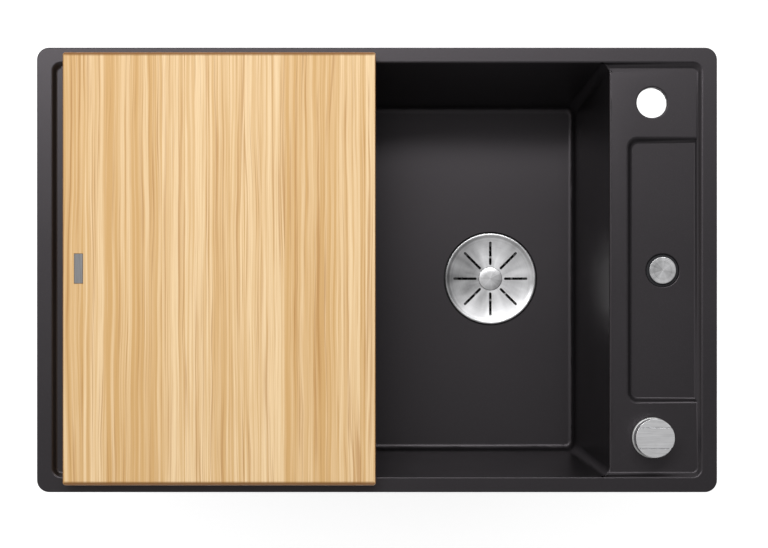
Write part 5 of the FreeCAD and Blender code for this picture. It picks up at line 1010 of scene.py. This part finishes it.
class SINK_OT_control(bpy.types.Operator):
    """The turning control: knob, rosette, bush, case and crank"""
    bl_idname = "sink.make_control"
    bl_label = "Make Control"

    WIDTHS = {
        "control_rosette": 0.5, "control_bush": 0.4, "control_gasket": 0.25,
        "knob_screw": 0.3, "control_spindle": 0.3, "control_washer": 0.25, "control_nut": 0.9,
        "control_case": 1.2, "case_cover": 0.8, "case_screws": 0.35, "crank_disc": 0.5,
        "cable_slider": 0.4,
    }

    def execute(self, context):
        self.make_knob(context.scene.sink_knob, context.scene.sink_metal.steel)
        for node, width in self.WIDTHS.items():
            dressed(node, width, 26, 3)
        return {"FINISHED"}

    def make_knob(self, settings, steel):
        low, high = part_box("control_knob")
        middle = (low + high) / 2
        grooves = bmesh.new()
        for side in (-1, 1):
            near, far = (settings.bar / 2 - 0.15 * MM) * side, (settings.bar / 2 + settings.groove) * side
            add_block(grooves, (low.x - MM, middle.y + min(near, far), high.z - settings.groove_depth),
                      (high.x + MM, middle.y + max(near, far), high.z + MM))
        work = rounded(cut_out(welded("control_knob"), grooves), 0.2 * MM, 30, 3)
        # painted light: the knob's steel made lighter than steel, as if more brightly lit
        finish = brushed_finish("Knob Steel", [channel * 1.65 for channel in steel],
                                (260.0, 5200.0, 900.0), 0.32)
        finished(work, "control_knob_grooved", finish, "control",
                 ["control_knob"])


class SINK_OT_overflow(bpy.types.Operator):
    """The overflow in the tray, and its ribbed hose to the waste"""
    bl_idname = "sink.make_overflow"
    bl_label = "Make Overflow"

    # hose route in millimetres
    ROUTE = (
        (329, 0, -47.5), (329, 0, -111.5), (318, 0, -171.5), (288, 0, -215.5), (240.7, 0, -237.8),
        (174.7, 0, -237.8),
    )

    def execute(self, context):
        steel = context.scene.sink_metal.steel
        # painted light: the cap's steel made lighter than steel, with the painted sheen of turned_finish
        cap = turned_finish("Overflow Cap", [channel * 1.66 for channel in steel],
                            sheet_middle("overflow_cap"), 0.3 * MM, 0.08, 0.38, 0.26, 0.02)
        dressed("overflow_cap", 0.4, 24, 3, cap)
        for node, width in (("overflow_sleeve", 0.3), ("overflow_seal", 0.4), ("overflow_nut", 0.9),
                            ("overflow_funnel", 0.5)):
            dressed(node, width, 26, 3)
        self.make_hose(context.scene.sink_plastic)
        dressed("hose_clamps", 0.4, 26, 2)
        return {"FINISHED"}

    def make_hose(self, settings):
        points = [Vector(point) * MM for point in self.ROUTE]
        spots, lengths = smooth_route(points)
        total, cuff = lengths[-1], settings.hose_cuff
        valley, crest = settings.hose_valley, settings.hose_crest
        pitch = (total - 2 * cuff) / settings.hose_ribs
        stations = [(0.0, valley), (cuff * 0.5, valley), (cuff, valley)]
        for rib in range(settings.hose_ribs):
            start = cuff + rib * pitch
            stations += [(start + pitch * step, valley + (crest - valley) * rise) for step, rise in (
                (0.10, 0.05), (0.22, 0.55), (0.32, 0.93), (0.5, 1.0), (0.68, 0.93), (0.78, 0.55),
                (0.90, 0.05))]
        stations += [(total - cuff, valley), (total - cuff * 0.5, valley), (total, valley)]
        work = tube(points, stations, 40, inside=settings.hose_bore)
        finished(work, "overflow_hose_ribbed", finish_of("overflow_hose"), "root",
                 ["overflow_hose"], 70)


class SINK_OT_cable(bpy.types.Operator):
    """The pull cable from the control to the waste"""
    bl_idname = "sink.make_cable"
    bl_label = "Make Cable"

    # sheath route in millimetres
    ROUTE = (
        (325, -164.5, -58.5), (325, -122.5, -58.5), (322, -86.5, -87.5), (312, -67.5, -131.5),
        (298, -59.5, -181.5), (277, -55.5, -228.5), (253.7, -54.6, -261.0), (215.7, -54.6, -278.03),
        (176.7, -54.6, -278.03),
    )

    def execute(self, context):
        radius = context.scene.sink_plastic.sheath
        points = [Vector(point) * MM for point in self.ROUTE]
        spots, lengths = smooth_route(points)
        steps = int(lengths[-1] / (1.5 * MM))
        stations = [(lengths[-1] * step / steps, radius) for step in range(steps + 1)]
        work = tube(points, stations, 20, side=(0, 0, 1))
        finished(work, "cable_sheath_smooth", finish_of("cable_sheath"), "root",
                 ["cable_sheath"], 60)
        for node in ("control_ferrule", "waste_ferrule"):
            dressed(node, 0.4, 26, 3)
        for node in ("waste_wire_end", "control_wire_end"):
            dressed(node, 0.15, 26, 2)
        return {"FINISHED"}


class SINK_OT_waste(bpy.types.Operator):
    """The waste under the bowl and the gear that lifts the strainer"""
    bl_idname = "sink.make_waste"
    bl_label = "Make Waste"

    WIDTHS = {
        "waste_flange": 0.3, "flange_gasket": 0.3, "waste_gasket": 0.4, "waste_body": 0.7,
        "flange_screws": 0.3, "shaft_seal": 0.3, "gland_nut": 0.6, "lift_pin": 0.5, "inner_lever": 0.5,
        "lever_shaft": 0.4, "outer_arm": 0.5, "arm_screw": 0.4,
    }

    def execute(self, context):
        steel = context.scene.sink_metal.steel
        # painted shade: the flange's steel made near black, for the shade in the deep gap round the disc
        flange_painted_shade = brushed_finish("Flange Steel", [channel * 0.16 for channel in steel],
                                (700.0, 700.0, 2600.0), 0.5)
        for node, width in self.WIDTHS.items():
            dressed(node, width, 26, 2, flange_painted_shade if node == "waste_flange" else None)
        return {"FINISHED"}


class SINK_OT_clamps(bpy.types.Operator):
    """The clamps that hold the sink down on the worktop"""
    bl_idname = "sink.make_clamps"
    bl_label = "Make Clamps"

    def execute(self, context):
        dressed("clamp_inserts", 0.3)
        dressed("clamp_screws", 0.3)
        for node in sorted(NODES):
            if node.startswith("claw_"):
                dressed(node, 0.7, 26, 3)
        return {"FINISHED"}


# ------------------------------------------------------------------ panel and registering

OPERATORS = (
    SINK_OT_stage, SINK_OT_bowl, SINK_OT_board, SINK_OT_strainer, SINK_OT_control, SINK_OT_overflow,
    SINK_OT_cable, SINK_OT_waste, SINK_OT_clamps,
)
SETTINGS = {
    "sink_stage": StageSettings, "sink_bowl": BowlSettings, "sink_board": BoardSettings,
    "sink_strainer": StrainerSettings, "sink_knob": KnobSettings, "sink_metal": MetalSettings,
    "sink_plastic": PlasticSettings,
}


class SINK_PT_pieces(bpy.types.Panel):
    """Lists the pieces of the sink and what can be changed on them"""
    bl_idname = "SINK_PT_pieces"
    bl_label = "Kitchen Sink"
    bl_space_type = "VIEW_3D"
    bl_region_type = "UI"
    bl_category = "Sink"

    def draw(self, context):
        for operator in OPERATORS:
            self.layout.operator(operator.bl_idname)
        for name, kind in SETTINGS.items():
            box = self.layout.box()
            for label in kind.__annotations__:
                box.prop(getattr(context.scene, name), label)


def register():
    for kind in (*SETTINGS.values(), *OPERATORS, SINK_PT_pieces):
        bpy.utils.register_class(kind)
    for name, kind in SETTINGS.items():
        setattr(bpy.types.Scene, name, PointerProperty(type=kind))


def unregister():
    for name in SETTINGS:
        delattr(bpy.types.Scene, name)
    for kind in reversed((*SETTINGS.values(), *OPERATORS, SINK_PT_pieces)):
        bpy.utils.unregister_class(kind)


def main():
    register()
    for operator in OPERATORS:
        group, name = operator.bl_idname.split(".")
        getattr(getattr(bpy.ops, group), name)()


if __name__ == "__main__":
    main()
